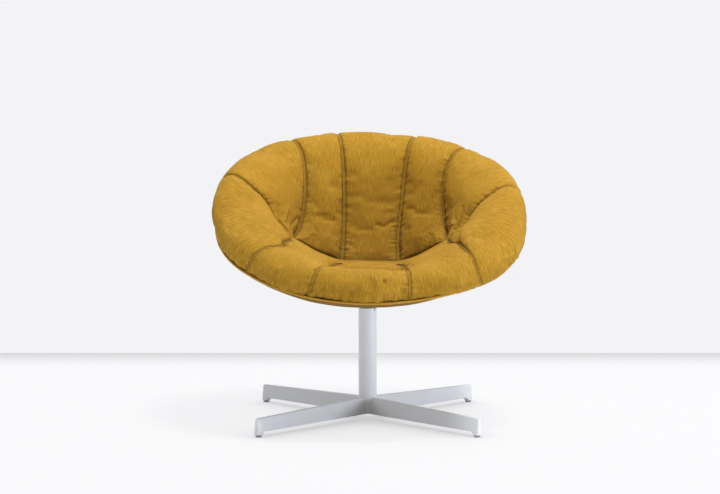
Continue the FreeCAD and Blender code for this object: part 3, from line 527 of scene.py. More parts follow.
def woven(name, dark, middle, light, sheen):
    """The upholstery cloth in one tone, with painted shade at seams and where ambient occlusion is
    high; U runs round the chair and V up the warp, in metres.
    """
    material, tree = new_material(name)
    cloth = add(tree, "ShaderNodeUVMap", uv_map="cloth")
    space = add(tree, "ShaderNodeTexCoord").outputs["Object"]
    warp, weft = (add(tree, "ShaderNodeMapping",
                      {"Vector": cloth, "Scale": (1 / size[0], 1 / size[1], 1.0)})
                  for size in (SLUB, PICK))
    slub = noise(tree, warp, 1, 3.0, Roughness=0.6)
    pick = noise(tree, weft, 1, 2.0)
    patch = noise(tree, space, PATCH, 3.0)
    tone = between_values(tree, 0.2, between_values(tree, 0.15, slub, pick), patch)
    ramp = add(tree, "ShaderNodeValToRGB", {"Fac": tone})
    low, high = ramp.color_ramp.elements
    low.position, low.color = 0.26, linear(dark)
    high.position, high.color = 0.74, linear(light)
    ramp.color_ramp.elements.new(0.5).color = linear(middle)
    # Painted shade: cloth at the stitches, in the seams and round the seat pad is darkened towards its
    # shade colour by a stored share.
    painted_seam_shade = add(tree, "ShaderNodeAttribute", attribute_name="painted_seam_shade").outputs["Fac"]
    shade = mixed(tree, painted_seam_shade, ramp.outputs[0], linear(PAINTED_SEAM_SHADE))
    # Painted shade: where ambient occlusion is high, as where two sections press together, the colour
    # is drawn towards the shade colour.
    open_sky = add(tree, "ShaderNodeAmbientOcclusion", {"Distance": PAINTED_CLOTH_SHADE_REACH}, samples=8)
    kept = add(tree, "ShaderNodeMapRange", {"Value": open_sky.outputs["AO"], "From Min": 0.25,
                                            "From Max": 0.90, "To Min": 0.15})
    painted_occlusion_shade = mixed(tree, kept, linear(PAINTED_SEAM_SHADE), shade)
    # A wave texture runs through 20 radians in a length of 1 / scale.
    ends, picks = (add(tree, "ShaderNodeTexWave",
                       {"Vector": cloth, "Scale": 2 * math.pi / 20 / DRAWN_THREAD,
                        "Distortion": 1.5, "Detail": 1.0}, bands_direction=way).outputs["Fac"]
                   for way in "XY")
    height = worked(tree, "ADD", worked(tree, "MULTIPLY", ends, picks), slub)
    bump = add(tree, "ShaderNodeBump", {"Height": height, "Strength": 0.6, "Distance": 0.0005})
    shader = add(tree, "ShaderNodeBsdfPrincipled",
                 {"Base Color": painted_occlusion_shade, "Roughness": 0.88,
                  "Specular IOR Level": 0.25, "Normal": bump,
                  "Sheen Weight": sheen, "Sheen Roughness": 0.45,
                  "Sheen Tint": linear(NAP_TINT)})
    add(tree, "ShaderNodeOutputMaterial", {"Surface": shader})
    return material


pad_cloth = woven("mustard woven polyester", "#84600d", "#a97e1c", "#cda441", 0.05)
# Painted shade: the underside cover is the same cloth drawn in darker tones than the pad.
cover_cloth_painted_darker = woven("mustard woven polyester, underside, painted darker", "#6d4e0b", "#876216", "#a07a2c", 0.03)
outer_cover = new_piece("outer_cover_fabric", cover_points, cover_faces, cover_cloth_painted_darker,
                        uv=np.concatenate(cover_uv))
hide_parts("outer_cover")
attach(outer_cover, "seat")


# Piping: a 6 mm cord rolled in a bias strip of the same cloth and sewn between the pad and the
# cover. The strip pulls tighter at each pair of stitches, so the cord looks faintly knuckled.

CORD_COLUMNS, CORD_AROUND = 900, 12
CORD_RADIUS, CORD_OFF = 0.0030, 0.0012  # its middle stands this far out from the edge and up
cord_turn = closed_round(CORD_COLUMNS)
cord_middle = hung(place(cord_turn, edge_distance(cord_turn) + CORD_OFF,
                          edge_height(cord_turn) + CORD_OFF))
cord_way = np.roll(cord_middle, -1, 0) - np.roll(cord_middle, 1, 0)
cord_way /= np.linalg.norm(cord_way, axis=1, keepdims=True)
cord_up = np.array([0.0, 0.0, 1.0]) - cord_way * cord_way[:, 2:3]
cord_up /= np.linalg.norm(cord_up, axis=1, keepdims=True)
cord_side = np.cross(cord_up, cord_way)
cord_length = np.concatenate([[0], np.cumsum(np.linalg.norm(
    np.roll(cord_middle, -1, 0) - cord_middle, axis=1))])[:-1]
cord_radius = CORD_RADIUS * (1 + 0.05 * ripple(cord_length, 0.012, 21))
cord_points = []
cord_uv = []
# On a bias strip the threads cross the cord at 45 degrees.
for index in range(CORD_AROUND):
    angle = 2 * math.pi * index / CORD_AROUND
    cord_points.append(cord_middle + (cord_side * math.cos(angle) + cord_up * math.sin(angle))
                       * cord_radius[:, None])
    cord_uv.append(np.stack([cord_length * 0.7 + 0.002 * angle,
                             cord_length * 0.7 - 0.002 * angle], -1))
cord_points = np.stack(cord_points, 1).reshape(-1, 3)
cord_uv = np.stack(cord_uv, 1).reshape(-1, 2)
cord_faces = tube_faces(CORD_COLUMNS, CORD_AROUND)
cord_faces += ring_faces((CORD_COLUMNS - 1) * CORD_AROUND, 0, CORD_AROUND)
# Painted light: the bias strip is the same cloth drawn in lighter tones than the pad.
piping_cloth_painted_lighter = woven("mustard woven polyester, bias strip, painted lighter",
                     "#b07e1c", "#c4922b", "#d6a743", 0.25)
piping = new_piece("edge_piping_welt", cord_points, cord_faces, piping_cloth_painted_lighter, uv=cord_uv)
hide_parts("edge_piping")
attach(piping, "seat")


# Pad ring: ten sections of the same cloth over foam and fibre, sewn edge to edge and pulled over
# the rim of the tub. Each seam is opened flat and topstitched on both sides, so that a flat band
# about 9 mm wide lies in a shallow valley between two full sections.

RING_HEIGHT = (0.4134, -0.0132, -0.0316, 0.0025, 0.0046)  # seam round the seat pad
RING_DISTANCE = (0.1517, -0.0193, -0.0331, -0.0008, 0.0001)
CREST_INSET, ROLL_DROP = 0.043, 0.045
SHOULDER_INSET, SHOULDER_DROP = 0.092, 0.020
# The front sections are stuffed level from crest to seat; turns are degrees from the front.
FRONT_FILL = 0.017
FILL_TURNS, FILL_SHARES = (0, 9, 20, 68, 95), (0.0, 0.1, 1.0, 1.0, 0.0)
# Share of the way from the seat pad to the piping, for each knot of a section's face.
FACE_KNOTS = np.array([0.0, 0.30, 0.58, 0.71, 0.79, 0.87, 0.94, 1.0])
# The seams wander as they were sewn: turn in degrees from the back at these shares of the way.
SEAM_STATIONS = np.array([0.0, 0.12, 0.35, 0.60, 0.80, 1.0])
SEAM_TURNS = np.array([
    (33, 26, 21.8, 21, 20.3, 20),  # back, left
    (84, 70, 51, 46, 44, 43),  # back to arm, left
    (90, 89, 87, 87, 82.5, 80),  # arm, rear to front, left
    (96, 112, 121, 130, 138, 135),  # arm to front, left
    (154, 157, 159.5, 163, 165.5, 164.5),  # front, left
    (206, 203, 202, 200.5, 200.5, 203),  # front, right
    (264, 248, 237, 228, 227, 232),  # front to arm, right
    (270, 273, 279, 277, 282.5, 284),  # arm, front to rear, right
    (276, 295, 316, 323, 325, 326),  # arm to back, right
    (329, 336, 343.5, 345.5, 346.5, 347)])  # back, right
# How full each section is stuffed, and how that falls off on the way over the crest.
FULLNESS = np.array([0.012, 0.012, 0.013, 0.013, 0.008, 0.013, 0.011, 0.012, 0.012, 0.008])
STUFFED_AT = (0.0, 0.12, 0.42, 0.62, 0.72, 0.84, 1.0)
STUFFED = (0.75, 1.0, 1.0, 0.62, 0.46, 0.30, 0.30)
SUNK = (0.0065, 0.0050, 0.0040, 0.0018, -0.0008, 0.0018, 0.0004)  # seams below the mean surface
SAG_TURNS = (85, 105, 140, 158, 200, 220, 250, 268)
SAG_DEPTHS = (0.0, 0.002, 0.008, 0.0, 0.0, 0.004, 0.003, 0.0)
OVERHANG_TURNS, OVERHANG_DEPTHS = (95, 118, 142, 160), (0.0, 0.009, 0.008, 0.0)
BAND = 0.0048  # half the flat band at a seam
STITCH_LINE = 0.0038  # seam to a line of stitches
PAD_ROWS = 141
NEAR_SEAM = np.array([0, 0.7, 1.6, 2.8, 3.8, 4.8, 6.5, 9.0, 13.0]) / 1000
PANEL_COLUMNS = 40
FULL_WIDTH, WIDTH_POWER = 0.09, 0.7  # narrower sections are stuffed less
RISE_SIDE, RISE_SEAT, RISE_EDGE = 0.036, 0.022, 0.020  # from a seam to the full height
SEAM_GROOVE, LINE_GROOVE, GROOVE_HALF = 0.0012, 0.0013, 0.0009
PUCKER, PUCKER_AT, PUCKER_SPACING = 0.0011, 0.009, 0.017
GATHER, GATHER_UP, GATHER_WAVE = 0.0020, 0.030, 0.026
HILL, HILL_SPACING, HILL_START = 0.0016, 0.085, 0.03
SAG_AT, SAG_HALF = 0.89, 0.075
PAD_CLOTH_ROUND = 0.33  # metres of cloth to a radian


def smooth_weights(knots, at):
    """Weights that turn the values at the knots into a natural cubic spline's values."""
    gap = np.diff(knots)
    number = len(knots)
    left = np.eye(number)
    right = np.zeros((number, number))
    for index in range(1, number - 1):
        left[index, index - 1:index + 2] = (gap[index - 1], 2 * (gap[index - 1] + gap[index]),
                                            gap[index])
        right[index, index - 1:index + 2] = (6 / gap[index - 1],
                                             -6 / gap[index - 1] - 6 / gap[index],
                                             6 / gap[index])
    bend = np.linalg.solve(left, right)
    span = np.clip(np.searchsorted(knots, at, side="right") - 1, 0, number - 2)
    before = (knots[span + 1] - at) / gap[span]
    after = 1 - before
    unit = np.eye(number)
    return (before[:, None] * unit[span] + after[:, None] * unit[span + 1]
            + ((before ** 3 - before)[:, None] * bend[span]
               + (after ** 3 - after)[:, None] * bend[span + 1]) * (gap[span] ** 2)[:, None] / 6)


def face_knots(turn):
    """Distances and heights of the knots of the pad's face, seat seam to piping."""
    out = reach(turn)
    crest = crest_height(turn)
    edge = edge_height(turn)
    near, low = waves(turn, RING_DISTANCE), waves(turn, RING_HEIGHT)
    shoulder, shoulder_height = out - SHOULDER_INSET, crest - SHOULDER_DROP
    widest = crest - ROLL_DROP
    filled = FRONT_FILL * np.interp(np.degrees(np.abs(turn - math.pi)), FILL_TURNS, FILL_SHARES)
    distances = [near, 0.45 * near + 0.55 * shoulder, shoulder, out - CREST_INSET,
                 out - 0.293 * CREST_INSET, out, 0.6 * out + 0.4 * edge_distance(turn),
                 edge_distance(turn)]
    heights = [low, 0.55 * low + 0.45 * shoulder_height + 0.42 * filled,
               shoulder_height + filled, crest,
               widest + 0.707 * ROLL_DROP, widest, 0.4 * widest + 0.6 * edge, edge + 0.0033]
    return np.stack(distances), np.stack(heights)


def face_points(turn, weights):
    """Points of the plain face: turn is an array whose first axis is the rows."""
    distances, heights = face_knots(turn)
    return place(turn, np.einsum("jk,kj...->j...", weights, distances),
                 np.einsum("jk,kj...->j...", weights, heights))


def swell(depth, radius):
    """How far a stuffed section has risen at a depth in from its seam, from 0 to 1."""
    return np.sqrt(1 - (1 - np.clip(depth / radius, 0, 1)) ** 2)


def lengths(points, axis):
    """Length along an axis of a grid of points, from its start."""
    steps = np.linalg.norm(np.diff(points, axis=axis), axis=-1)
    start = np.zeros_like(np.take(steps, [0], axis=axis))
    return np.concatenate([start, np.cumsum(steps, axis=axis)], axis=axis)


def grid_normals(points):
    """Outward normals of a grid whose columns go all the way round."""
    round_way = np.roll(points, -1, 1) - np.roll(points, 1, 1)
    up_way = np.gradient(points, axis=0)
    normals = np.cross(round_way, up_way)
    return normals / np.maximum(np.linalg.norm(normals, axis=-1, keepdims=True), 1e-12)


share = np.linspace(0, 1, PAD_ROWS)
weights = smooth_weights(FACE_KNOTS, share)
seam_turn = np.radians(SEAM_TURNS @ smooth_weights(SEAM_STATIONS, share).T)  # seam, row
next_turn = np.roll(seam_turn, -1, 0)
next_turn[-1] += 2 * math.pi
dense = np.linspace(0, 1, 49)
between = seam_turn.T[:, :, None] * (1 - dense) + next_turn.T[:, :, None] * dense
run = lengths(face_points(between, weights), 2)  # row, section, sample
width = run[:, :, -1]
pad_turn, side_depth, section_width = [], [], []
for row in range(PAD_ROWS):
    for section in range(len(SEAM_TURNS)):
        whole = width[row, section]
        near = NEAR_SEAM * min(1.0, 0.42 * whole / NEAR_SEAM[-1])
        inner = np.linspace(near[-1], whole - near[-1], PANEL_COLUMNS + 2)[1:-1]
        at = np.concatenate([near, inner, whole - near[:0:-1]])
        pad_turn.append(np.interp(at, run[row, section], between[row, section]))
        side_depth.append(np.minimum(at, whole - at))
        section_width.append(np.full(len(at), whole))
SECTION = len(pad_turn[0])  # columns of one section
PAD_COLUMNS = SECTION * len(SEAM_TURNS)
pad_turn = np.reshape(pad_turn, (PAD_ROWS, PAD_COLUMNS))
side_depth = np.reshape(side_depth, (PAD_ROWS, PAD_COLUMNS))
section_width = np.reshape(section_width, (PAD_ROWS, PAD_COLUMNS))
plain = face_points(pad_turn, weights)
normals = grid_normals(plain)
up_length = lengths(plain, 0)
edge_depth = up_length[-1] - up_length
fullness = np.repeat(FULLNESS, SECTION) * np.minimum(1, section_width / FULL_WIDTH) ** WIDTH_POWER
stuffed = np.interp(share, STUFFED_AT, STUFFED)[:, None]
sunk = np.interp(share, STUFFED_AT, SUNK)[:, None]
puff = (fullness * stuffed
        * swell(side_depth - BAND, np.minimum(RISE_SIDE, section_width / 2))
        * swell(up_length, RISE_SEAT) * swell(edge_depth, RISE_EDGE))
stitch_line = np.exp(-((side_depth - STITCH_LINE) / GROOVE_HALF) ** 2)
band = (-SEAM_GROOVE * np.exp(-(side_depth / GROOVE_HALF) ** 2) - LINE_GROOVE * stitch_line)
# Painted shade: faint in the seam, full at the stitches, strong round the seat pad.
painted_seam_shade_share = np.maximum(0.35 * np.exp(-(side_depth / 0.0008) ** 2), stitch_line)
painted_seam_shade_share = np.maximum(painted_seam_shade_share, 0.8 * np.exp(-(up_length / 0.0030) ** 2))
seam_number = np.repeat(np.arange(len(SEAM_TURNS)), SECTION)
near_next = np.tile(np.arange(SECTION) > SECTION // 2, len(SEAM_TURNS))
pucker = (PUCKER * np.exp(-((side_depth - PUCKER_AT) / PUCKER_AT) ** 2)
          * ripple(up_length + 3.1 * seam_number + 1.7 * near_next, PUCKER_SPACING, 31))
gather = (GATHER * np.exp(-edge_depth / GATHER_UP) * swell(edge_depth, 0.008)
          * ripple(pad_turn * ARC, GATHER_WAVE, 47))
uneven = HILL * lumps(plain, HILL_SPACING, 53) * swell(side_depth - BAND, HILL_START)
# The front corners sag over the piping, more on the sitter's left.
sagging = np.interp(np.degrees(pad_turn) % 360, SAG_TURNS, SAG_DEPTHS)
uneven = uneven + sagging * np.exp(-((share - SAG_AT) / SAG_HALF) ** 2)[:, None]


def fold(way, height, breadth):
    """A ridge, or a crease if the height is negative, along points of (turn, share)."""
    total = np.zeros(plain.shape[:2])
    for (first_turn, first_share), (last_turn, last_share) in zip(way, way[1:]):
        ends = face_points(np.radians([first_turn, last_turn]),
                           smooth_weights(FACE_KNOTS, np.array([first_share, last_share])))
        start = ends[0]
        along = ends[1] - start
        part = np.clip((plain - start) @ along / (along @ along), 0, 1)
        away = np.linalg.norm(plain - start - part[..., None] * along, axis=-1)
        total = np.maximum(total, np.exp(-(away / breadth) ** 2) * (1 - 0.55 * part))
    return height * total


# Pulls and creases that sitting leaves: most run in towards the two ends of the seat seam.
FOLDS = (
    ([(273, 0.02), (279, 0.20), (288, 0.34)], -0.0075, 0.0046),
    ([(275, 0.05), (285, 0.20), (296, 0.30)], 0.0060, 0.0060),
    ([(277, 0.03), (290, 0.16), (304, 0.24)], -0.0065, 0.0046),
    ([(88, 0.03), (82, 0.20), (76, 0.36)], -0.0080, 0.0048),
    ([(87, 0.04), (76, 0.18), (66, 0.30)], 0.0060, 0.0062),
    ([(84, 0.03), (70, 0.14), (58, 0.22)], -0.0062, 0.0046),
    ([(92, 0.03), (98, 0.20), (101, 0.40)], -0.0060, 0.0062),
    ([(93, 0.06), (106, 0.22), (112, 0.38)], 0.0045, 0.0070),
    ([(175.4, 0.66), (174.8, 0.80), (174.2, 0.97)], -0.0075, 0.0042),
    ([(178.2, 0.62), (177.6, 0.80), (177.4, 0.92)], 0.0040, 0.0048),
    ([(171.5, 0.64), (171.0, 0.84)], -0.0044, 0.0042),
    ([(113, 0.84), (115, 0.95)], 0.0044, 0.0042),
    ([(117, 0.86), (118, 0.97)], -0.0040, 0.0036),
    ([(236, 0.40), (226, 0.52), (219, 0.60)], -0.0040, 0.0060),
    ([(240, 0.52), (230, 0.64)], 0.0036, 0.0070),
    ([(18, 0.24), (12, 0.21), (6, 0.22)], -0.0040, 0.0048),
    ([(17, 0.30), (10, 0.29)], 0.0030, 0.0060),
    ([(189, 0.44), (184, 0.52), (177, 0.50)], -0.0046, 0.0070),
    ([(192, 0.58), (186, 0.64)], 0.0036, 0.0080),
    ([(166, 0.50), (171, 0.56)], 0.0036, 0.0080))
creased = sum(fold(*one) for one in FOLDS) * swell(side_depth, 0.006)
plain_skin = plain + normals * (puff - sunk + uneven + creased)[..., None]


# Mass is for one vertex, in kilograms. A shrink below 0 makes the cloth a little too large.
CLOTH_SETTINGS = {"quality": 6, "mass": 0.35, "tension_stiffness": 12,
                  "compression_stiffness": 12, "bending_stiffness": 0.15,
                  "use_pressure": True, "uniform_pressure_force": 3.0, "shrink_min": -0.006,
                  "vertex_group_mass": "held"}
CLOTH_FRAMES, CLOTH_MOST = 20, 0.005
EVERY = 3  # the cloth is worked out on every third row and column
LIFT_TAKEN = 0.7  # share of the even lift that is taken off again


def settled(points, pinned, frames, most):
    """The skin after a cloth simulation: stuffed from below, held at its seams and borders."""
    rows, columns = points.shape[:2]
    trial = new_piece("cloth_trial", points.reshape(-1, 3), tube_faces(rows, columns))
    cloth = trial.data
    held = trial.vertex_groups.new(name="held")
    held.add(np.flatnonzero(pinned.reshape(-1)).tolist(), 1.0, "REPLACE")
    cloth_modifier = trial.modifiers.new("cloth", "CLOTH")
    for name, value in CLOTH_SETTINGS.items():
        setattr(cloth_modifier.settings, name, value)
    cloth_modifier.settings.effector_weights.gravity = 0
    cloth_modifier.collision_settings.use_collision = False
    scene = bpy.context.scene
    for frame_number in range(1, frames + 1):
        scene.frame_set(frame_number)
    shape = trial.evaluated_get(bpy.context.evaluated_depsgraph_get()).to_mesh()
    after = np.empty(rows * columns * 3)
    shape.vertices.foreach_get("co", after)
    scene.frame_set(1)
    bpy.data.objects.remove(trial)
    bpy.data.meshes.remove(cloth)
    moved = after.reshape(points.shape) - points
    size = np.linalg.norm(moved, axis=-1, keepdims=True)
    return moved * np.minimum(1, most / np.maximum(size, 1e-9))


def widened(values, axis, known, wanted, period=None):
    """Values read between the known places of an axis."""
    return np.apply_along_axis(
        lambda line: np.interp(wanted, known, line, period=period), axis, values)


coarse_rows = np.unique(np.append(np.arange(0, PAD_ROWS, EVERY), PAD_ROWS - 1))
coarse_columns = np.flatnonzero(np.tile(np.arange(SECTION) % EVERY == 0, len(SEAM_TURNS)))
coarse = np.ix_(coarse_rows, coarse_columns)
pinned = side_depth[coarse] < BAND + 0.001
pinned[[0, 1, -2, -1]] = True
moved = settled(plain_skin[coarse], pinned, CLOTH_FRAMES, CLOTH_MOST)
moved = widened(moved, 0, coarse_rows, np.arange(PAD_ROWS))
moved = widened(moved, 1, coarse_columns, np.arange(PAD_COLUMNS), PAD_COLUMNS)
# What the stuffing lifts evenly is in the shape already, so only the unevenness is kept.
lift = LIFT_TAKEN * (moved * normals).sum(-1).mean()
plain_skin = plain_skin + moved - normals * lift * swell(side_depth - BAND, 0.03)[..., None]
skin = plain_skin + normals * (band + pucker + gather)[..., None]
# On the sitter's left the slack edge hangs down over the piping.
over = np.clip((share - 0.80) / 0.16, 0, 1)[:, None] ** 2
skin[..., 2] -= over * np.interp(np.degrees(pad_turn) % 360, OVERHANG_TURNS, OVERHANG_DEPTHS)
skin = hung(skin)

# The lining side follows the tub: under the edge, up to the rim, over it and down to the seat.
TUB_RIM_INSET, TUB_RIM_DROP = 0.030, 0.046
WALL, WALL_THINNING = 0.0128, 0.0034  # outside of the tub to the lining, and how much less at the edge


def tub_side(turn, height):
    """Distance of the outside of the tub at a height, base to rim."""
    edge, tub_edge = edge_height(turn), reach(turn) - TUB_INSET
    rim = crest_rest(turn) - TUB_RIM_DROP
    share = np.clip((height - TUB_LOW) / (edge - TUB_LOW), 0, 1) ** (1 / TUB_POWER)
    above = np.clip((height - edge) / (rim - edge), 0, 1)
    return (TUB_BASE + (tub_edge - TUB_BASE) * share
            - (TUB_RIM_INSET - TUB_INSET) * above)


def crest_rest(turn):
    """Height of the crest that the tub's rim follows."""
    return waves(turn, (0.559, 0.143, -0.011))


def tub_inside(turn, share):
    """Distance and height just inside the tub at a share of the way up its underside."""
    return off_tub(turn, share, WALL_THINNING * share - WALL)


LINING_STEPS = 9
outer_turn, inner_turn = pad_turn[-1], pad_turn[0]
rim_height = crest_rest(outer_turn) - TUB_RIM_DROP
rim_distance = reach(outer_turn) - TUB_RIM_INSET
tuck_height = skin[-1, :, 2]
lining = []
for step in range(3):
    height = tuck_height + (rim_height - tuck_height) * step / 2
    lining.append(place(outer_turn, tub_side(outer_turn, height) + 0.001, height))
lining.append(place(outer_turn, rim_distance, rim_height + 0.0008))
lining.append(place(outer_turn, rim_distance - 0.0075, rim_height - 0.0030))
for step in range(LINING_STEPS + 1):
    across = step / LINING_STEPS
    turn = outer_turn * (1 - across) + inner_turn * across
    ring_share = np.clip((waves(inner_turn, RING_DISTANCE) - TUB_BASE) / tub_run(inner_turn),
                         0.02, 1)
    distance, height = tub_inside(turn, 1 - (1 - ring_share) * across)
    lining.append(place(turn, distance, height))
pad_grid = np.concatenate([skin, np.array(lining)])
pad_faces = tube_faces(len(pad_grid), PAD_COLUMNS)
pad_faces += ring_faces((len(pad_grid) - 1) * PAD_COLUMNS, 0, PAD_COLUMNS)
middle_turn = pad_turn[PAD_ROWS // 2] * PAD_CLOTH_ROUND
pad_uv = np.stack([np.broadcast_to(middle_turn, skin.shape[:2]), up_length], -1)
pad_uv = np.concatenate([pad_uv, np.repeat(pad_uv[-1:], len(lining), 0)])
painted_seam_shade_share = np.concatenate([painted_seam_shade_share, np.zeros((len(lining), PAD_COLUMNS))])
pad_ring = new_piece("quilted_pad_ring", pad_grid.reshape(-1, 3), pad_faces, pad_cloth,
                     uv=pad_uv.reshape(-1, 2))
# Painted shade: each point of the pad stores how far its colour is darkened at seams, stitches and
# round the seat pad.
pad_ring.data.attributes.new("painted_seam_shade", "FLOAT", "POINT").data.foreach_set(
    "value", painted_seam_shade_share.reshape(-1))
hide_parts("pad_back_centre", "pad_back_left", "pad_back_right",
            "pad_arm_rear_left", "pad_arm_rear_right", "pad_arm_front_left",
            "pad_arm_front_right", "pad_front_left", "pad_front_right", "pad_front_centre")
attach(pad_ring, "seat")


# Seat pad: the middle cushion, foam under fibre, boxed into the ring by a sunk seam.

SEAT_COLUMNS, SEAT_ROWS, UNDER_ROWS = 240, 46, 8
SEAT_MIDDLE = 0.362  # height of the cushion before its crown
SEAM_SINK, DISH_POWER = 0.007, 1.7
ROLL, ROLL_WIDTH = 0.004, 0.030  # the cushion's edge rolls up out of its seam
CROWN, CROWN_HALF, CROWN_START = 0.019, 0.062, 0.05  # and it is fullest along the middle
LUMP, LUMP_SPACING, LUMP_START = 0.0014, 0.07, 0.04
SEAT_GAP, UNDER_GAP = 0.0006, 0.003
seat_turn = closed_round(SEAT_COLUMNS)
ring_distance = waves(seat_turn, RING_DISTANCE)
ring_height = waves(seat_turn, RING_HEIGHT)
across_seat = place(seat_turn, ring_distance, ring_height)[..., 0]
seat_rows, seat_depth = [], []
for row in range(1, SEAT_ROWS + 1):
    out = (row / SEAT_ROWS) ** ROW_CROWDING
    depth = (1 - out) * ring_distance
    height = (SEAT_MIDDLE + (ring_height - SEAM_SINK - SEAT_MIDDLE) * out ** DISH_POWER
              + ROLL * swell(depth, ROLL_WIDTH)
              + CROWN * np.exp(-(across_seat * out / CROWN_HALF) ** 2)
              * swell(depth, CROWN_START))
    seat_rows.append(place(seat_turn, (ring_distance - SEAT_GAP) * out, height))
    seat_depth.append(depth)
seat_top = np.array(seat_rows)
seat_top[..., 2] += (LUMP * lumps(seat_top, LUMP_SPACING, 61)
                     * swell(np.array(seat_depth), LUMP_START))
seat_under = []
for row in range(UNDER_ROWS, 0, -1):
    distance = (ring_distance - UNDER_GAP) * row / UNDER_ROWS
    tub_share = np.clip((distance - TUB_BASE) / tub_run(seat_turn), 0, 1)
    _, height = tub_inside(seat_turn, tub_share)
    seat_under.append(place(seat_turn, distance, height + 0.0008))
seat_grid = np.concatenate([hung(seat_top), np.array(seat_under)])
seat_points = seat_grid.reshape(-1, 3)
seat_faces = tube_faces(len(seat_grid), SEAT_COLUMNS)
top_middle, low_middle = len(seat_points), len(seat_points) + 1
low_first = (len(seat_grid) - 1) * SEAT_COLUMNS
for column in range(SEAT_COLUMNS):
    following = (column + 1) % SEAT_COLUMNS
    seat_faces.append([top_middle, following, column])
    seat_faces.append([low_middle, low_first + column, low_first + following])
seat_points = np.concatenate([seat_points, [[0, 0, SEAT_MIDDLE + 0.023],
                                            [0, 0, TUB_LOW + 0.0136]]])
seat_pad = new_piece("seat_cushion", seat_points, seat_faces, pad_cloth,
                     uv=seat_points[:, :2])
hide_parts("seat_centre_pad")
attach(seat_pad, "seat")


# Bar tacks: where the two back seams and the front seams meet the seat seam, the machine ends
# in a small dense loop of the same thread that stands up from the cloth.

TACK_RADIUS, TACK_THICKNESS, TACK_LIFT = 0.0046, 0.0013, 0.0030
TACK_LONG, TACK_WIDE = 1.4, 0.8
TACK_STEPS, TACK_AROUND = 20, 8
# Bonded filament thread, a shade darker than the cloth.
thread = mottled("bonded polyester thread", "#7d5812", "#96701f", 0.002, (0.45, 0.6),
                 IOR=1.5)
for tack_seam, label in ((4, "left"), (5, "right")):
    middle = skin[1, SECTION * tack_seam] + (0, 0, TACK_LIFT)
    way, turned = closed_round(TACK_STEPS)[:, None], closed_round(TACK_AROUND)[None]
    out_by = TACK_RADIUS + TACK_THICKNESS * np.cos(turned)
    ring = np.stack([TACK_LONG * out_by * np.cos(way), TACK_WIDE * out_by * np.sin(way),
                     TACK_THICKNESS * np.sin(turned) + 0 * way], -1) + middle
    ring = ring.reshape(-1, 3)
    tack_faces = tube_faces(TACK_STEPS, TACK_AROUND)
    tack_faces += ring_faces((TACK_STEPS - 1) * TACK_AROUND, 0, TACK_AROUND)
    tack_faces = [face[::-1] for face in tack_faces]
    tack = new_piece("bar_tack_" + label, ring, tack_faces, thread, uv=ring[:, :2])
    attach(tack, "seat")


# Topstitching: two rows of bonded polyester thread along every seam, four stitches to 20 mm.
# The thread is a shade darker than the cloth and each stitch is drawn down into it.

STITCH_SPACING, STITCH_LENGTH, STITCH_THICKNESS = 0.0050, 0.0037, 0.0009
sewn_column = int(np.argmin(abs(NEAR_SEAM - STITCH_LINE)))
line_columns = [SECTION * number + side for side in (sewn_column, -sewn_column)
                for number in range(len(SEAM_TURNS))]
line_rows = slice(5, PAD_ROWS - 3)
line_points, line_edges = [], []
skin_normals = grid_normals(skin)
for column in line_columns:
    run = skin[line_rows, column] + skin_normals[line_rows, column] * 0.0001
    line_edges += [(len(line_points) + index, len(line_points) + index + 1)
                   for index in range(len(run) - 1)]
    line_points += run.tolist()
guide = bpy.data.meshes.new("stitch_guide")
guide.from_pydata(line_points, line_edges, [])
guide.materials.append(thread)
stitches = placed("seam_stitches", guide)
sewing = bpy.data.node_groups.new("sewing", "GeometryNodeTree")
sewing.interface.new_socket("Geometry", in_out="INPUT", socket_type="NodeSocketGeometry")
sewing.interface.new_socket("Geometry", in_out="OUTPUT", socket_type="NodeSocketGeometry")
sewing_sizes = {}
for label, value in (("Spacing", STITCH_SPACING), ("Length", STITCH_LENGTH),
                     ("Thickness", STITCH_THICKNESS)):
    socket = sewing.interface.new_socket(label, in_out="INPUT", socket_type="NodeSocketFloat")
    sewing_sizes[socket.identifier] = value
given = add(sewing, "NodeGroupInput").outputs
line = add(sewing, "GeometryNodeMeshToCurve", {"Mesh": given["Geometry"]})
spots = add(sewing, "GeometryNodeCurveToPoints", {"Curve": line, "Length": given["Spacing"]},
            mode="LENGTH")
bead = add(sewing, "GeometryNodeMeshUVSphere", {"Segments": 6, "Rings": 5, "Radius": 0.5})
bead_size = add(sewing, "ShaderNodeCombineXYZ",
                {"X": given["Thickness"], "Y": given["Thickness"], "Z": given["Length"]})
laid = add(sewing, "GeometryNodeInstanceOnPoints",
           {"Points": spots, "Instance": bead, "Rotation": spots.outputs["Rotation"],
            "Scale": bead_size})
real = add(sewing, "GeometryNodeRealizeInstances", {"Geometry": laid})
soft_shaded = add(sewing, "GeometryNodeSetShadeSmooth", {"Geometry": real})
painted = add(sewing, "GeometryNodeSetMaterial", {"Geometry": soft_shaded, "Material": thread})
add(sewing, "NodeGroupOutput", {"Geometry": painted})
sew = stitches.modifiers.new("sewing", "NODES")
sew.node_group = sewing
for identifier, value in sewing_sizes.items():
    sew[identifier] = value
baked(stitches)
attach(stitches, "seat")


# Studio: a pale floor, a wall 1.1 m behind the chair, one soft lamp nearly overhead, a low one on
# the right, a weaker low one on the left, and an even sky. The camera stands 6.3 m in front.

HORIZON = 1.136  # wall, from the column
FLOOR_HALF, WALL_HALF, WALL_HIGH = 12, 9, 6
PAINTED_FLOOR_SHADOW_REACH = 0.28  # how near the chair darkens the floor with painted shadow
SKY, SHOWN_SKY, SKY_LEVEL = "#ffffff", "#f3f3f5", 0.21


def either(tree, share, first, second):
    """One shader or the other, by the share of the second."""
    return add(tree, "ShaderNodeMixShader", {0: share, 1: first, 2: second})


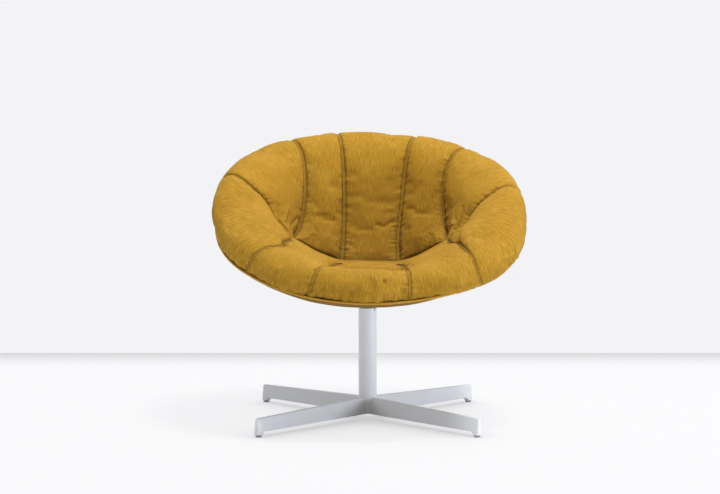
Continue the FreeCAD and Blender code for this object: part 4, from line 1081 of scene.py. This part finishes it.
def backdrop_material(name, albedo, shown, kept, painted_shadow_depth, strength):
    """Floor or wall: kept is the share of its own shading that shows.

    The rest is a plain tone with a painted shadow: ambient occlusion darkens it, by up to the painted
    shadow's depth, where the chair stands close.
    The camera, reflections and clear views get that; bounced light meets the plain matt sheet.
    From behind the sheet is clear, so that the chair can be looked at from every side."""
    material, tree = new_material(name)
    path = add(tree, "ShaderNodeLightPath").outputs
    seen = worked(tree, "MAXIMUM", path["Is Camera Ray"], path["Is Glossy Ray"])
    seen = worked(tree, "MAXIMUM", seen, path["Is Transmission Ray"])
    matt = add(tree, "ShaderNodeBsdfDiffuse", {"Color": linear(albedo)})
    open_sky = add(tree, "ShaderNodeAmbientOcclusion", {"Distance": PAINTED_FLOOR_SHADOW_REACH}, samples=8)
    painted_shadow_level = add(tree, "ShaderNodeMapRange",
                {"Value": open_sky.outputs["AO"], "From Min": 0.45, "To Min": 1 - painted_shadow_depth})
    painted_shadow_level = worked(tree, "MULTIPLY", painted_shadow_level, strength)
    glow = add(tree, "ShaderNodeEmission",
               {"Color": linear(shown), "Strength": painted_shadow_level})
    front = either(tree, seen, matt, either(tree, kept, glow, matt))
    behind = add(tree, "ShaderNodeNewGeometry").outputs["Backfacing"]
    clear = add(tree, "ShaderNodeBsdfTransparent")
    add(tree, "ShaderNodeOutputMaterial", {"Surface": either(tree, behind, front, clear)})
    return material


def flat_sheet(name, corners, material):
    """A single face of the studio."""
    return new_piece(name, corners, [(0, 1, 2, 3)], material)


# Painted shadow: nine tenths of the floor's tone as seen is a glow that ambient occlusion darkens
# round the chair.
floor = flat_sheet("studio_floor",
                   [(-FLOOR_HALF, -FLOOR_HALF, 0), (FLOOR_HALF, -FLOOR_HALF, 0),
                    (FLOOR_HALF, FLOOR_HALF, 0), (-FLOOR_HALF, FLOOR_HALF, 0)],
                   backdrop_material("pale studio floor", "#e8e8ea", "#fbfbfd", 0.10, 0.34,
                                     0.985))
wall = flat_sheet("studio_wall",
                  [(-WALL_HALF, HORIZON, 0), (WALL_HALF, HORIZON, 0),
                   (WALL_HALF, HORIZON, WALL_HIGH), (-WALL_HALF, HORIZON, WALL_HIGH)],
                  backdrop_material("pale studio wall", "#e8e8ea", "#f3f3f5", 0.0, 0.0, 1.0))


def lamp(name, location, target, size, power, colour):
    """A square area lamp turned to a point."""
    data = bpy.data.lights.new(name, "AREA")
    data.size = size
    data.energy = power
    data.color = linear(colour)[:3]
    made = placed(name, data)
    made.location = location
    way = np.subtract(location, target)
    flat = math.hypot(way[0], way[1])
    made.rotation_euler = (math.atan2(flat, way[2]), 0, math.atan2(way[0], -way[1]))


lamp("key", (0.8, -0.5, 4.2), (0, 0, 0.45), 0.9, 160, "#fffefb")
lamp("side", (3.4, -1.9, 0.32), (0, 0, 0.1), 0.6, 67, "#eef3ff")
lamp("fill", (-3.3, -2.0, 0.45), (0, 0, 0.1), 0.8, 33, "#f8faff")
world = bpy.data.worlds.new("studio")
bpy.context.scene.world = world
world.use_nodes = True
world.node_tree.nodes.clear()
sky = add(world.node_tree, "ShaderNodeBackground",
          {"Color": linear(SKY), "Strength": SKY_LEVEL})
shown_sky = add(world.node_tree, "ShaderNodeBackground",
                {"Color": linear(SHOWN_SKY)})
direct = add(world.node_tree, "ShaderNodeLightPath").outputs["Is Camera Ray"]
add(world.node_tree, "ShaderNodeOutputWorld",
    {"Surface": either(world.node_tree, direct, sky, shown_sky)})
bpy.context.scene.view_settings.view_transform = "Standard"

camera_data = bpy.data.cameras.new("camera")
camera_data.lens = 130
camera_data.sensor_width = 36
camera = placed("camera", camera_data)
camera.location = (-0.0189, -6.349, 1.0805)
camera.rotation_euler = (math.radians(90 - 5.88), 0, 0)
bpy.context.scene.camera = camera
